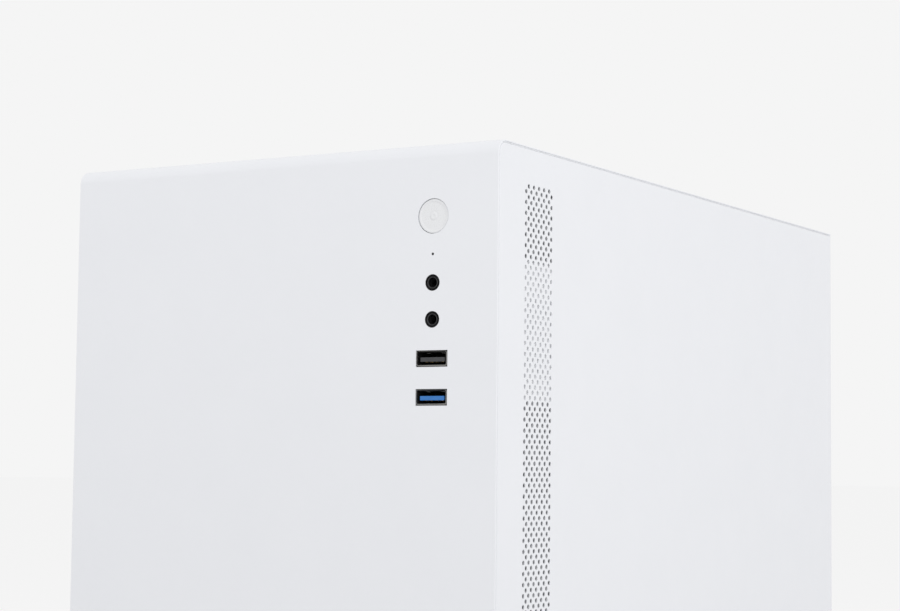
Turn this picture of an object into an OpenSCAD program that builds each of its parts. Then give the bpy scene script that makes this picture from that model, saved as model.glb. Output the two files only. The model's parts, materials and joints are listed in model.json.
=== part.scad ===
// Desktop computer mini tower. Front faces -Y, component side faces -X, +Z is up.
// The origin is the centre of the footprint, at the bottom of the feet.

/* [Case] */
// Outer width across both side panels
case_w = 200; // [200:1:210]
// Outer depth, front sheet to the rear edge of the shell
case_d = 350; // [350:1:360]
// Overall height with the feet
case_h = 370; // [370:1:380]
// Height of the rubber feet
foot_h = 12; // [12:0.5:14]
// Thickness of the bent front and top sheet
sheet_t = 1.2; // [1.0:0.1:1.5]
// Outside radius of the bend from the front to the top
bend_r = 5.5; // [4.5:0.5:6.5]

/* [Side panels] */
// Thickness of a side panel's sheet
panel_t = 1.0; // [0.8:0.1:1.0]
// Gap all round between a side panel and the shell
panel_gap = 0.5; // [0.4:0.1:0.8]
// Depth of the flange folded in along a panel's edges
panel_flange = 8; // [6:0.5:8]
// Radius of a panel's upper front corner
panel_corner_r = 4.2; // [3.5:0.1:4.5]

/* [Side vents] */
// Hole spacing along a row and between every second row
vent_pitch = 4.1; // [4.0:0.05:4.3]
// Diameter of one vent hole
vent_d = 1.75; // [1.5:0.05:2.0]
// Half-pitch columns in the strip
vent_cols = 11; // [9:2:11]
// Distance from the front face to the first column
vent_from_front = 21.55; // [21:0.05:23]
// Distance from the top to the first row, and from the bottom to the last
vent_from_top = 15.4; // [15:0.1:20]

/* [Front ports] */
// Distance from the right side to the centre line of the ports
port_inset = 27.96; // [27:0.1:29]
// Power button centre below the top
button_drop = 27.75; // [27:0.05:28]
// Indicator light below the top
light_drop = 42.06; // [42:0.02:42.4]
// Upper audio jack below the top
jack_a_drop = 52.81; // [52.6:0.01:53]
// Lower audio jack below the top
jack_b_drop = 66.64; // [66.4:0.01:66.8]
// USB 2.0 port below the top
usb2_drop = 81.28; // [81:0.02:81.5]
// USB 3.0 port below the top
usb3_drop = 95.73; // [95.5:0.01:96]
// Diameter of the power button
button_d = 12.9; // [12.5:0.1:13.1]
// How far the power button is pressed
button_travel = 1.5; // [1:0.1:1.6]

/* [Hidden] */
$fn = 48;
eps = 0.01;

// Outer faces
x_side = case_w / 2;
y_front = -case_d / 2;
y_back = case_d / 2;
z_top = case_h;
z_low = foot_h;

// Inner chassis planes: the panels' folded flanges sit outside x_frame
x_frame = x_side - panel_t - panel_flange - 0.5;
y_sheet = y_front + sheet_t;
z_sheet = z_top - sheet_t;
frame_t = 1.2;
z_floor = z_low + frame_t;
z_rail = z_sheet - frame_t;
rail_drop = 26;
floor_lip = 17;
y_rear = y_back - 4.2;
y_wall = y_front + 53;
flange_in = 15;
foot_x = 76;
foot_y = 145;

// Side panel outline
panel_y0 = y_sheet + panel_gap;
panel_y1 = y_back - panel_gap;
panel_z0 = z_low + 0.3;
panel_z1 = z_sheet - panel_gap;
stud_rows = [45, z_top - 40];
stud_cols = [y_wall + 8, y_rear - 8];
ball_r = 3;

// Vent strip
vent_rows = 1 + floor((z_top - z_low - 2 * vent_from_top) / (vent_pitch / 2));

// Front ports
port_x = x_side - port_inset;
usb_w = 13.3;
usb_h = 5.8;
usb_wall = 0.4;
jack_r = 3.025;
plug_r = 1.8;
board_y = y_front + 18;
board_t = 1.6;
jack_heights = [z_top - jack_a_drop, z_top - jack_b_drop];
bracket_x = x_side - panel_t - 0.2;

// Motherboard: its face towards -X is mb_x, its rear edge mb_y1, its top edge mb_z1
tray_x = x_side - 18;
standoff_h = 6.5;
mb_x = tray_x - standoff_h - board_t;
mb_size = 244;
mb_y1 = y_rear - 2;
mb_y0 = mb_y1 - mb_size;
mb_z1 = z_top - 14;
mb_z0 = mb_z1 - mb_size;
mb_holes_y = [33, 140, 227.3];
mb_holes_z = [10.2, 132, 225.9];
cpu_y = 85;
cpu_z = mb_z1 - 71;
memory_y = [22, 13, 4, -5];
memory_z = mb_z1 - 77;

// Expansion slots
slot_pitch = 20.32;
slot_z = [for (i = [0:3]) mb_z0 + 8 + i * slot_pitch];
slot_shelf_x = -38;
bracket_t = 0.86;
bracket_w = 18.4;
bracket_y = y_rear - bracket_t;

// Rear input and output plate
io_x = [mb_x + 2.2 - 44.45, mb_x + 2.2];
io_z = [mb_z1 - 164, mb_z1 - 5.25];
// Each block of ports: distance below the board's top edge, width, standing height, and its
// sockets, each as start and end above the board and width
usb_pair = [[2, 7.1, 12.5], [10.2, 15.3, 12.5]];
port_blocks = [[16, 15, 17, usb_pair], [36, 15, 17, usb_pair], [56, 17, 7, [[1.2, 5.8, 14.4]]],
    [80, 17, 29.5, usb_pair], [104, 15, 17, usb_pair]];
network_at = [mb_x - 23, mb_z1 - 80];
audio_block = [130, 13, 34];
audio_rows = [6, 17, 28];

// Fans: frame size, depth, screw spacing, bore radius
fan120 = [120, 25, 105, 57.5];
fan92 = [92, 25, 82.5, 44.5];
rear_fan_at = [-26, y_rear - 25, mb_z1 - 62];
front_fan_at = [-8, y_wall + frame_t, 96];
cpu_fan_at = [-4, cpu_y - 50, cpu_z];
blade_t = 1.6;

// Power supply
psu_x = [-72, 78];
psu_y = [y_rear - 140, y_rear];
psu_z = [z_floor + 2, z_floor + 88];
psu_fan_at = [3, y_rear - 71, psu_z[0] + 1];
inlet_at = [-48, psu_z[0] + 56];
switch_at = [-20, psu_z[0] + 56];
// Right edge of the plate that holds the inlet and switch, and the seam round it
psu_plate_x = -7;
plate_gap = 0.05;
rocker_tilt = 8;
psu_holes = [for (x = [psu_x[0] + 3.4, psu_x[1] - 3.4], z = [psu_z[0] + 3, psu_z[1] - 3]) [x, z]];

// Graphics card, a two-slot card in the top slot
gpu_z = slot_z[3];
gpu_y = [-2, y_rear - 5];
gpu_fan_at = [12, 84];

// Drives
hdd_x = [-73.5, 73.5];
hdd_y = [-92, 9.6];
hdd_z = [z_floor + 4, z_floor + 30.1];
ssd_y = [-40, 60];
ssd_z = [31, 101];

// Cable routes, each from one connector to the other, and their radii
power_route = [[50, 30.8, 84], [50, 18, 84], [48, -40, 88], [40, -80, 118], [36, -86, 180],
    [34, -84, 240], [36, -72, 272], [41, -67.2, 278], [46.7, -67.2, 278]];
cpu_power_route = [[66, 30.8, 90], [66, 24, 90], [70, 18, 96], [80, 16, 104], [86, 20, 114],
    [86.2, 40, 170], [86.2, 80, 270], [86.4, 104, 335], [86.4, 108, 348], [81, 108, 358],
    [70, 108, 360], [60, 108, 358], [54, 108, 352], [57, 108, 348], [61.9, 108, 348]];
usb_route = [[54, -149.2, 300], [54, -142, 300], [52, -125, 299], [52, -104, 292], [64, -88, 262],
    [66, -86, 200], [62, -84, 150], [56, -78, 132], [58, -68.2, 128], [63.9, -68.2, 128]];
audio_route = [[54, -149.2, 314], [54, -142, 314], [60, -125, 311], [62, -102, 300],
    [74, -84, 262], [76, -83, 190], [74, -81, 120], [66, -60, 113], [54, -40, 112],
    [58, -33.2, 115.5], [63.9, -33.2, 115.5]];
data_route = [[73.5, -30, 30], [78, -30, 30], [78, -34, 50], [68, -44, 75], [50, -54, 105],
    [46, -60, 140], [50, -67.2, 162], [57, -67.2, 168], [63.9, -67.2, 168]];

// ---------------------------------------------------------------- helpers

// A box given by its lowest and highest corners
module block(lo, hi) {
    translate(lo) cube(hi - lo);
}

// Extrudes an outline drawn in Y and Z along X from x0
module along_x(x0, len) {
    translate([x0, 0, 0]) rotate([90, 0, 90]) linear_extrude(len) children();
}

// Extrudes an outline drawn in X and Z along Y from y0
module along_y(y0, len) {
    translate([0, y0 + len, 0]) rotate([90, 0, 0]) linear_extrude(len) children();
}

// Extrudes an outline drawn in X and Y along Z from z0
module along_z(z0, len) {
    translate([0, 0, z0]) linear_extrude(len) children();
}

// A cylinder along +Y that starts at a point
module rod_y(at, r, len) {
    translate(at) rotate([-90, 0, 0]) cylinder(r = r, h = len);
}

// A cylinder along +X that starts at a point
module rod_x(at, r, len) {
    translate(at) rotate([0, 90, 0]) cylinder(r = r, h = len);
}

// A rectangle given by two opposite corners
module rect(lo, hi) {
    translate(lo) square(hi - lo);
}

// A rectangle whose corner at low u and high v is rounded
module bent_corner(lo, hi, r) {
    polygon([lo, [hi[0], lo[1]], hi, [lo[0] + r, hi[1]], [lo[0], hi[1] - r]]);
    translate([lo[0] + r, hi[1] - r]) circle(r);
}

// A pan-head screw along +Z: head below z = 0, shank above it
module screw(head_r, head_h, shank_r, len) {
    difference() {
        translate([0, 0, -head_h]) cylinder(r = head_r, h = head_h);
        for (turn = [0, 90]) rotate([0, 0, turn])
            translate([-head_r * 0.6, -0.4, -head_h - eps]) cube([head_r * 1.2, 0.8, head_h * 0.6]);
    }
    cylinder(r = shank_r, h = len);
}

// Square axial fan frame along +Z, with the struts and motor seat at the outlet end
module fan_frame(fan) {
    half = fan[0] / 2;
    depth = fan[1];
    flange = 3.5;
    seat_r = 17;
    difference() {
        union() {
            for (z = [0, depth - flange]) translate([-half, -half, z])
                cube([fan[0], fan[0], flange]);
            cylinder(r = half - 0.4, h = depth);
        }
        translate([0, 0, -eps]) cylinder(r = fan[3], h = depth + 1);
        for (sx = [-1, 1], sy = [-1, 1])
            translate([sx * fan[2] / 2, sy * fan[2] / 2, -eps]) cylinder(r = 2.2, h = depth + 1);
    }
    difference() {
        union() {
            translate([0, 0, depth - 4]) cylinder(r = seat_r, h = 4);
            for (turn = [45:90:315]) rotate([0, 0, turn])
                translate([seat_r - 1, -2, depth - 3]) cube([fan[3] - seat_r + 1.8, 4, 3]);
        }
        translate([0, 0, depth - 5]) cylinder(r = 1.55, h = 4);
    }
}

// Fan rotor along +Z: hub cup, shaft and pitched blades
module fan_rotor(tip_r, hub_r, depth, blades, pitch) {
    cylinder(r = hub_r, h = depth);
    cylinder(r = 1.5, h = depth + 2.5);
    intersection() {
        difference() {
            cylinder(r = tip_r, h = depth);
            translate([0, 0, -1]) cylinder(r = hub_r - 1, h = depth + 2);
        }
        for (i = [0:blades - 1]) rotate([0, 0, i * 360 / blades]) translate([0, 0, depth / 2])
            rotate([pitch, 0, 0]) translate([hub_r - 2, -depth, -blade_t / 2])
                cube([tip_r, 2 * depth, blade_t]);
    }
}

// Points along a smooth curve through a route (Catmull-Rom), with n steps a span
function mix(a, b, c, d, t) = 0.5 * (2 * b + (c - a) * t + (2 * a - 5 * b + 4 * c - d) * t * t
    + (3 * b - a - 3 * c + d) * t * t * t);
function smooth(p, n) = concat([for (i = [0:len(p) - 2], k = [0:n - 1])
    mix(p[max(i - 1, 0)], p[i], p[i + 1], p[min(i + 2, len(p) - 1)], k / n)], [p[len(p) - 1]]);
function unit(v) = v / norm(v);
function headings(route, p) = concat([unit(route[1] - route[0])],
    [for (i = [1:len(p) - 2]) unit(p[i + 1] - p[i - 1])],
    [unit(route[len(route) - 1] - route[len(route) - 2])]);
// A reference across direction that no route here runs along
across = unit([0.31, 0.26, 0.05]);

// A round cable swept along a route
module cable(route, r, sides, steps) {
    p = smooth(route, steps);
    last = len(p) - 1;
    ways = headings(route, p);
    rings = [for (i = [0:last]) let (u = unit(cross(ways[i], across)), v = cross(ways[i], u))
        for (k = [0:sides - 1]) p[i] + r * (u * cos(k * 360 / sides) + v * sin(k * 360 / sides))];
    walls = [for (i = [0:last - 1], k = [0:sides - 1]) let (n = (k + 1) % sides)
        [i * sides + k, (i + 1) * sides + k, (i + 1) * sides + n, i * sides + n]];
    ends = [[for (k = [0:sides - 1]) k], [for (k = [sides - 1:-1:0]) last * sides + k]];
    polyhedron(rings, concat(walls, ends), convexity = 10);
}

// ---------------------------------------------------------------- shell and side panels

// One sheet bent over the front and the top
module front_top_shell() {
    color("white") difference() {
        along_x(-x_side, case_w) difference() {
            bent_corner([y_front, z_low], [y_back, z_top], bend_r);
            bent_corner([y_sheet, z_low - 1], [y_back + 1, z_sheet], bend_r - sheet_t);
        }
        rod_y([port_x, y_front - 1, z_top - button_drop], button_d / 2 + 0.2, 4);
        rod_y([port_x, y_front - 1, z_top - light_drop], 0.55, 4);
        for (z = jack_heights) rod_y([port_x, y_front - 1, z], jack_r + 0.1, 4);
        for (drop = [usb2_drop, usb3_drop])
            block([port_x - usb_w / 2 - 0.2, y_front - 1, z_top - drop - usb_h / 2 - 0.2],
                [port_x + usb_w / 2 + 0.2, y_front + 3, z_top - drop + usb_h / 2 + 0.2]);
    }
}

// The staggered strip of round vent holes, drawn in Y and Z
module vent_strip() {
    for (row = [0:vent_rows - 1], col = [(row + 1) % 2:2:vent_cols - 1])
        translate([y_front + vent_from_front + col * vent_pitch / 2,
            z_top - vent_from_top - row * vent_pitch / 2]) circle(d = vent_d);
}

// A side panel's outline, drawn in Y and Z
module panel_outline(inset) {
    bent_corner([panel_y0 + inset, panel_z0 + inset], [panel_y1 - inset, panel_z1 - inset],
        panel_corner_r - inset);
}

// Right side panel: sheet with a vent strip and a folded flange all round
module right_side_panel() {
    color("white") {
        along_x(x_side - panel_t, panel_t) difference() {
            panel_outline(0);
            vent_strip();
        }
        along_x(x_side - panel_t - panel_flange, panel_flange) difference() {
            panel_outline(0);
            panel_outline(1);
        }
    }
}

module left_side_panel() {
    mirror([1, 0, 0]) right_side_panel();
}

// Four ball studs that snap a panel into the chassis
module right_panel_studs() {
    color("silver") for (y = stud_cols, z = stud_rows) {
        rod_x([x_side - panel_t - 1.5, y, z], 4.5, 1.5);
        rod_x([x_frame - 3.5, y, z], 1.8, panel_flange + 3.5 - 0.5);
        translate([x_frame - 3.5, y, z]) rotate([0, 90, 0]) sphere(r = ball_r);
    }
}

module left_panel_studs() {
    mirror([1, 0, 0]) right_panel_studs();
}

// Eight plastic sockets for the ball studs, pushed into the chassis flanges
module panel_sockets() {
    color("dimgray") for (side = [-1, 1], y = stud_cols, z = stud_rows)
        mirror([side < 0 ? 1 : 0, 0, 0]) difference() {
            union() {
                rod_x([x_frame, y, z], 6.5, 1.2);
                rod_x([x_frame - 5, y, z], 4.95, 5);
            }
            rod_x([x_frame - 9, y, z], ball_r + 0.08, 12);
        }
}

// ---------------------------------------------------------------- chassis

// Floor of the chassis with a front lip, side lips and intake slots under the power supply
module base_plate() {
    color("gainsboro") {
        along_z(z_low, frame_t) difference() {
            rect([-x_frame, y_sheet], [x_frame, y_rear + frame_t]);
            for (row = [-6:6], side = [-1, 1])
                translate([psu_fan_at[0] + side * 26, psu_fan_at[1] + row * 8])
                    square([46 - abs(row) * 3, 4.4], center = true);
            for (x = [-foot_x, foot_x], y = [-foot_y, foot_y]) translate([x, y]) circle(r = 2.1);
        }
        block([-x_frame, y_sheet, z_floor], [x_frame, y_sheet + frame_t, z_floor + 12]);
        for (side = [0, 1]) mirror([side, 0, 0])
            block([x_frame - frame_t, y_sheet + 4, z_floor], [x_frame, y_rear, z_floor + floor_lip]);
    }
}

// Ring slots of a fan opening, drawn about the origin and cut by four spokes
module ring_slots(outer_r, rings, slot_w, land) {
    difference() {
        for (i = [0:rings - 1]) difference() {
            circle(r = outer_r - i * (slot_w + land));
            circle(r = outer_r - i * (slot_w + land) - slot_w);
        }
        for (turn = [45, 135]) rotate(turn) square([2 * outer_r + 2, 4.5], center = true);
    }
}

// Rear wall: openings for the ports, fan, slots and power supply, and flanges for the sockets
module rear_panel() {
    color("gainsboro") {
        along_y(y_rear, frame_t) difference() {
            rect([-x_frame, z_floor], [x_frame, z_rail]);
            rect([io_x[0], io_z[0]], [io_x[1], io_z[1]]);
            translate([rear_fan_at[0], rear_fan_at[2]]) {
                ring_slots(43, 5, 5.6, 2.4);
                for (sx = [-1, 1], sz = [-1, 1])
                    translate([sx * fan92[2] / 2, sz * fan92[2] / 2]) circle(r = 2.2);
            }
            for (z = slot_z) rect([slot_shelf_x + 8, z - 6.2], [slot_shelf_x + 100, z + 6.2]);
            rect([psu_x[0] + 6, psu_z[0] + 6], [psu_x[1] - 6, psu_z[1] - 6]);
            for (hole = psu_holes) translate(hole) circle(r = 2);
            for (row = [0:5], col = [0:4]) translate([-82 + col * 9, slot_z[0] + row * 11])
                square([6, 3], center = true);
        }
        for (side = [0, 1]) mirror([side, 0, 0]) socket_flange(y_rear - flange_in, flange_in);
        block([slot_shelf_x - frame_t, y_rear - 14, slot_z[0] - 13],
            [slot_shelf_x, y_rear - 1.2, slot_z[3] + 13]);
        for (z = [slot_z[0] - 13, slot_z[3] + 11.5])
            block([slot_shelf_x - frame_t, y_rear - 1.2, z], [slot_shelf_x, y_rear, z + 1.5]);
    }
}

// A flange along the chassis edge at +X, with a hole for each socket
module socket_flange(y0, len) {
    along_x(x_frame - frame_t, frame_t) difference() {
        rect([y0, z_floor + floor_lip], [y0 + len, z_rail - rail_drop]);
        for (y = stud_cols, z = stud_rows) translate([y, z]) circle(r = 5);
    }
}

// Inner front wall that carries the fan, with the intake plenum in front of it
module front_frame() {
    color("gainsboro") {
        along_y(y_wall, frame_t) difference() {
            rect([-x_frame + frame_t, z_floor], [x_frame - frame_t, z_rail]);
            translate([front_fan_at[0], front_fan_at[2]]) {
                ring_slots(56, 6, 6.4, 2.4);
                for (sx = [-1, 1], sz = [-1, 1])
                    translate([sx * fan120[2] / 2, sz * fan120[2] / 2]) circle(r = 2.2);
            }
            for (row = [0:9], col = [0:6]) translate([-62 + col * 16, 180 + row * 14])
                square([11, 6], center = true);
            translate([56, 302]) square([22, 34], center = true);
        }
        for (side = [0, 1]) mirror([side, 0, 0]) socket_flange(y_wall + frame_t, flange_in);
        for (side = [0, 1]) mirror([side, 0, 0])
            block([x_frame - frame_t, y_wall, z_floor + floor_lip],
                [x_frame, y_wall + frame_t, z_rail - rail_drop]);
    }
}

// Two angle rails under the top sheet
module top_rails() {
    color("gainsboro") for (side = [0, 1]) mirror([side, 0, 0]) {
        block([x_frame - 13, y_front + 7, z_rail], [x_frame, y_rear + frame_t, z_sheet]);
        block([x_frame - frame_t, y_front + 7, z_rail - rail_drop],
            [x_frame, y_rear + frame_t - 1.5, z_rail]);
    }
}

// Plate that carries the motherboard, with a cooler opening and cable openings
module motherboard_tray() {
    color("gainsboro") difference() {
        along_x(tray_x, 1) difference() {
            rect([y_wall + 32, z_floor], [y_rear, z_rail - 5]);
            rect([cpu_y - 42, cpu_z - 50], [cpu_y + 42, cpu_z + 50]);
            for (z = [150, 250]) rect([mb_y0 - 12, z], [mb_y0 - 3, z + 46]);
            rect([8, 97], [28, 118]);
            rect([98, z_rail - 18], [118, z_rail - 5 + eps]);
            for (y = mb_holes_y, z = mb_holes_z) translate([mb_y1 - y, mb_z1 - z]) circle(r = 1.5);
        }
    }
}

// Rubber feet
module feet() {
    color("dimgray") for (x = [-foot_x, foot_x], y = [-foot_y, foot_y]) translate([x, y, 0]) {
        difference() {
            cylinder(r1 = 11.5, r2 = 13, h = z_low);
            translate([0, 0, -eps]) cylinder(r = 5, h = 5);
        }
        translate([0, 0, z_low]) cylinder(r = 2, h = 3);
    }
}

// Channels under the floor that guide the dust filter
module filter_rails() {
    color("dimgray") for (side = [0, 1]) mirror([side, 0, 0]) {
        block([58.4, 26, 5], [60, 165, z_low]);
        block([55, 26, 5], [58.4, 165, 6]);
        block([60, 26, z_low - 1], [64, 120, z_low]);
    }
    color("dimgray") block([-55, 26, 5], [55, 27.5, z_low]);
}

// Dust filter frame with bars, drawn out to the rear
module dust_filter() {
    color("dimgray") {
        along_z(6.4, 3) difference() {
            rect([-58, 28], [58, 168]);
            for (col = [0:3], row = [0:3])
                rect([-54 + col * 27.5, 34 + row * 32], [-28.5 + col * 27.5, 63 + row * 32]);
        }
        block([-20, 168, 5], [20, 171, 10]);
    }
}

// Steel screws: power supply, slots, motherboard and fans
module case_screws() {
    color("silver") {
        for (hole = psu_holes) translate([hole[0], y_rear + frame_t, hole[1]])
            rotate([90, 0, 0]) screw(2.9, 2, 1.6, 5);
        for (z = slot_z) translate([slot_shelf_x - frame_t - bracket_t, y_rear - 7, z])
            rotate([0, 90, 0]) screw(3.2, 2, 1.6, 0.8);
        for (y = mb_holes_y, z = mb_holes_z)
            translate([mb_x, mb_y1 - y, mb_z1 - z]) rotate([0, 90, 0]) screw(2.8, 1.8, 1.4, 5);
        for (sx = [-1, 1], sz = [-1, 1]) {
            translate([rear_fan_at[0] + sx * fan92[2] / 2, y_rear + frame_t,
                rear_fan_at[2] + sz * fan92[2] / 2]) rotate([90, 0, 0]) screw(3.6, 2, 2.1, 9);
            translate([front_fan_at[0] + sx * fan120[2] / 2, y_wall,
                front_fan_at[2] + sz * fan120[2] / 2]) rotate([-90, 0, 0]) screw(3.6, 2, 2.1, 9);
        }
    }
}

// ---------------------------------------------------------------- front ports and button

// White carrier that holds the port board behind the front sheet
module port_bracket() {
    color("white") {
        along_z(z_top - 96.4, 52.9) {
            rect([60, board_y + board_t + 2], [bracket_x, board_y + board_t + 4]);
            rect([bracket_x - 1.5, y_front + 3.4], [bracket_x, y_wall - 1]);
            rect([74, y_wall - 1.6], [bracket_x, y_wall]);
        }
        for (x = [64, 82], drop = [47, 92])
            rod_y([x, board_y + board_t, z_top - drop], 2.4, 2);
    }
}

// Board behind the ports, with the plugs of the cables on its rear face
module port_board() {
    color("darkgreen") along_y(board_y, board_t)
        rect([48, z_top - 104], [port_x + 15, z_top - 38]);
    color("black") {
        block([49, board_y + board_t, z_top - 76], [59, board_y + board_t + 6.2, z_top - 64]);
        block([49, board_y + board_t, z_top - 60], [59, board_y + board_t + 6.2, z_top - 52]);
    }
}

// Two 3.5 mm jacks with their barrels in the front sheet
module audio_jacks() {
    color("black") for (z = jack_heights) difference() {
        union() {
            block([port_x - 5, y_front + 5, z - 5.5], [port_x + 5, board_y, z + 5.5]);
            rod_y([port_x, y_front, z], jack_r, 6);
        }
        rod_y([port_x, y_front - 1, z], plug_r, 17.5);
        rod_y([port_x, y_front - 1, z], 2.5, 2.4);
    }
}

// Metal sleeve at the mouth of each jack
module jack_rings() {
    color("silver") for (z = jack_heights) difference() {
        rod_y([port_x, y_front + 0.3, z], 2.5, 1.1);
        rod_y([port_x, y_front - 1, z], plug_r, 4);
    }
}

// A USB receptacle's metal shell
module usb_shell(z) {
    difference() {
        block([port_x - usb_w / 2, y_front, z - usb_h / 2], [port_x + usb_w / 2, board_y, z + usb_h / 2]);
        block([port_x - usb_w / 2 + usb_wall, y_front - 1, z - usb_h / 2 + usb_wall],
            [port_x + usb_w / 2 - usb_wall, board_y + 1, z + usb_h / 2 - usb_wall]);
    }
}

// A USB receptacle's insulator: base block and contact tongue
module usb_tongue(z) {
    block([port_x - usb_w / 2 + usb_wall, board_y - 4, z - usb_h / 2 + usb_wall],
        [port_x + usb_w / 2 - usb_wall, board_y, z + usb_h / 2 - usb_wall]);
    block([port_x - 5.55, y_front + 1, z - 1.75], [port_x + 5.55, board_y - 4, z + 0.09]);
}

module usb2_shell() {
    color("silver") usb_shell(z_top - usb2_drop);
}

module usb2_tongue() {
    color("black") usb_tongue(z_top - usb2_drop);
}

module usb3_shell() {
    color("silver") usb_shell(z_top - usb3_drop);
}

module usb3_tongue() {
    color("royalblue") usb_tongue(z_top - usb3_drop);
}

// Light guide from the lamp on the port board to the pinhole
module light_pipe() {
    color("lightblue") {
        rod_y([port_x, y_front + 0.2, z_top - light_drop], 0.5, 3);
        rod_y([port_x, y_sheet + 0.3, z_top - light_drop], 1.5, board_y - y_sheet - 0.3);
    }
}

// Round push button: ringed face, retaining flange and stem
module power_button() {
    z = z_top - button_drop;
    color("white") {
        difference() {
            rod_y([port_x, y_front, z], button_d / 2, 2.8);
            for (r = [1.1, 2.2, 3.3, 4.4, 5.5]) difference() {
                rod_y([port_x, y_front - 1, z], r + 0.15, 1.12);
                rod_y([port_x, y_front - 2, z], r - 0.15, 4);
            }
        }
        rod_y([port_x, y_sheet + 0.3, z], button_d / 2 + 1.1, 1.3);
        rod_y([port_x, y_front + 2.7, z], 2.4, 9.3);
    }
}

// Guide behind the sheet that the button's stem slides in, with arms for the switch
module button_housing() {
    z = z_top - button_drop;
    color("white") {
        difference() {
            rod_y([port_x, y_sheet, z], button_d / 2 + 3, 5.8);
            rod_y([port_x, y_sheet - 1, z], button_d / 2 + 1.5, 4.8);
            rod_y([port_x, y_sheet - 1, z], 2.46, 9);
        }
        for (side = [-1, 1])
            translate([port_x + side * 6.75, y_front + 14.4, z]) cube([1.5, 15.2, 8], center = true);
    }
}

// Momentary switch that the stem presses
module power_switch() {
    z = z_top - button_drop;
    color("black") {
        block([port_x - 6, y_front + 15, z - 6], [port_x + 6, y_front + 22, z + 6]);
        rod_y([port_x, y_front + 12.3 + button_travel, z], 1.75, 2.8 - button_travel);
    }
}

// ---------------------------------------------------------------- motherboard

module motherboard() {
    color("darkslategray") along_x(mb_x, board_t) difference() {
        rect([mb_y0, mb_z0], [mb_y1, mb_z1]);
        for (y = mb_holes_y, z = mb_holes_z) translate([mb_y1 - y, mb_z1 - z]) circle(r = 1.9);
    }
}

// Hexagonal spacers between the tray and the board
module board_standoffs() {
    color("goldenrod") for (y = mb_holes_y, z = mb_holes_z) difference() {
        translate([mb_x + board_t, mb_y1 - y, mb_z1 - z]) rotate([0, 90, 0])
            cylinder(r = 3, h = standoff_h, $fn = 6);
        rod_x([mb_x + board_t - 1, mb_y1 - y, mb_z1 - z], 1.5, 5);
    }
}

// Processor in its socket under the cooler
module cpu_socket() {
    color("gray") {
        block([mb_x - 3.5, cpu_y - 26, cpu_z - 30], [mb_x, cpu_y + 26, cpu_z + 30]);
        block([mb_x - 6, cpu_y - 19, cpu_z - 19], [mb_x - 3.5, cpu_y + 19, cpu_z + 19]);
    }
}

// Four memory sockets with end latches
module memory_sockets() {
    color("black") for (y = memory_y) difference() {
        union() {
            block([mb_x - 8, y - 3.3, memory_z - 71], [mb_x, y + 3.3, memory_z + 71]);
            for (end = [-70.5, 68]) block([mb_x - 19, y - 2.8, memory_z + end],
                [mb_x - 8, y + 2.8, memory_z + end + 2.5]);
        }
        block([mb_x - 9, y - 0.75, memory_z - 66.9], [mb_x - 3, y + 0.75, memory_z + 66.9]);
    }
}

// Two memory modules with flat heat spreaders
module memory_modules() {
    color("dimgray") for (y = [memory_y[0], memory_y[2]]) {
        block([mb_x - 34, y - 0.65, memory_z - 66.7], [mb_x - 3, y + 0.65, memory_z + 66.7]);
        block([mb_x - 37, y - 2.6, memory_z - 64], [mb_x - 10, y + 2.6, memory_z + 64]);
    }
}

// Expansion sockets: one long, two short
module expansion_sockets() {
    color("black") for (s = [[3, 89], [1, 25], [0, 25]]) difference() {
        block([mb_x - 11, 159 - s[1], slot_z[s[0]] - 3.7], [mb_x, 159, slot_z[s[0]] + 3.7]);
        block([mb_x - 12, 160.5 - s[1], slot_z[s[0]] - 0.95],
            [mb_x - 2, 157.5, slot_z[s[0]] + 0.95]);
    }
}

// The square body of one rear audio jack, a height above the board
module audio_insert(height, y, depth, half) {
    block([mb_x - height - half, y, mb_z1 - audio_block[0] - half],
        [mb_x - height + half, y + depth, mb_z1 - audio_block[0] + half]);
}

// Connector blocks along the rear edge of the board: USB, video, network and audio sockets
module rear_ports() {
    y1 = y_rear + frame_t + 0.6;
    color("silver") {
        for (p = port_blocks) {
            z = mb_z1 - p[0];
            difference() {
                block([mb_x - p[2], mb_y1 - 22, z - p[1] / 2], [mb_x, y1, z + p[1] / 2]);
                for (s = p[3])
                    block([mb_x - s[1], y1 - 12, z - s[2] / 2], [mb_x - s[0], y1 + 1, z + s[2] / 2]);
                if (p[2] > 20) block([network_at[0] - 4.5, y1 - 13, z - 6.1],
                    [network_at[0] + 4.5, y1 + 1, z + 6.1]);
            }
            for (s = p[3]) block([mb_x - s[0] - 2.6, y1 - 12, z - s[2] / 2 + 0.8],
                [mb_x - s[0] - 0.9, y1 - 1, z + s[2] / 2 - 0.8]);
        }
        difference() {
            block([mb_x - audio_block[2], mb_y1 - 22, mb_z1 - audio_block[0] - audio_block[1] / 2],
                [mb_x, y1, mb_z1 - audio_block[0] + audio_block[1] / 2]);
            for (h = audio_rows) audio_insert(h, y1 - 20, 21, 4.9);
        }
        for (h = audio_rows) difference() {
            audio_insert(h, y1 - 19.9, 19.9, 4.8);
            rod_y([mb_x - h, y1 - 15, mb_z1 - audio_block[0]], plug_r, 16);
        }
    }
}

// Stamped plate that fits round the rear connectors
module io_shield() {
    color("silver") along_y(y_rear - 0.6, 0.6) difference() {
        rect([io_x[0] - 0.6, io_z[0] - 0.6], [io_x[1] + 0.6, io_z[1] + 0.6]);
        for (p = concat(port_blocks, [audio_block]))
            rect([mb_x - p[2] - 0.3, mb_z1 - p[0] - p[1] / 2 - 0.3],
                [mb_x + 0.3, mb_z1 - p[0] + p[1] / 2 + 0.3]);
    }
}

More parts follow.
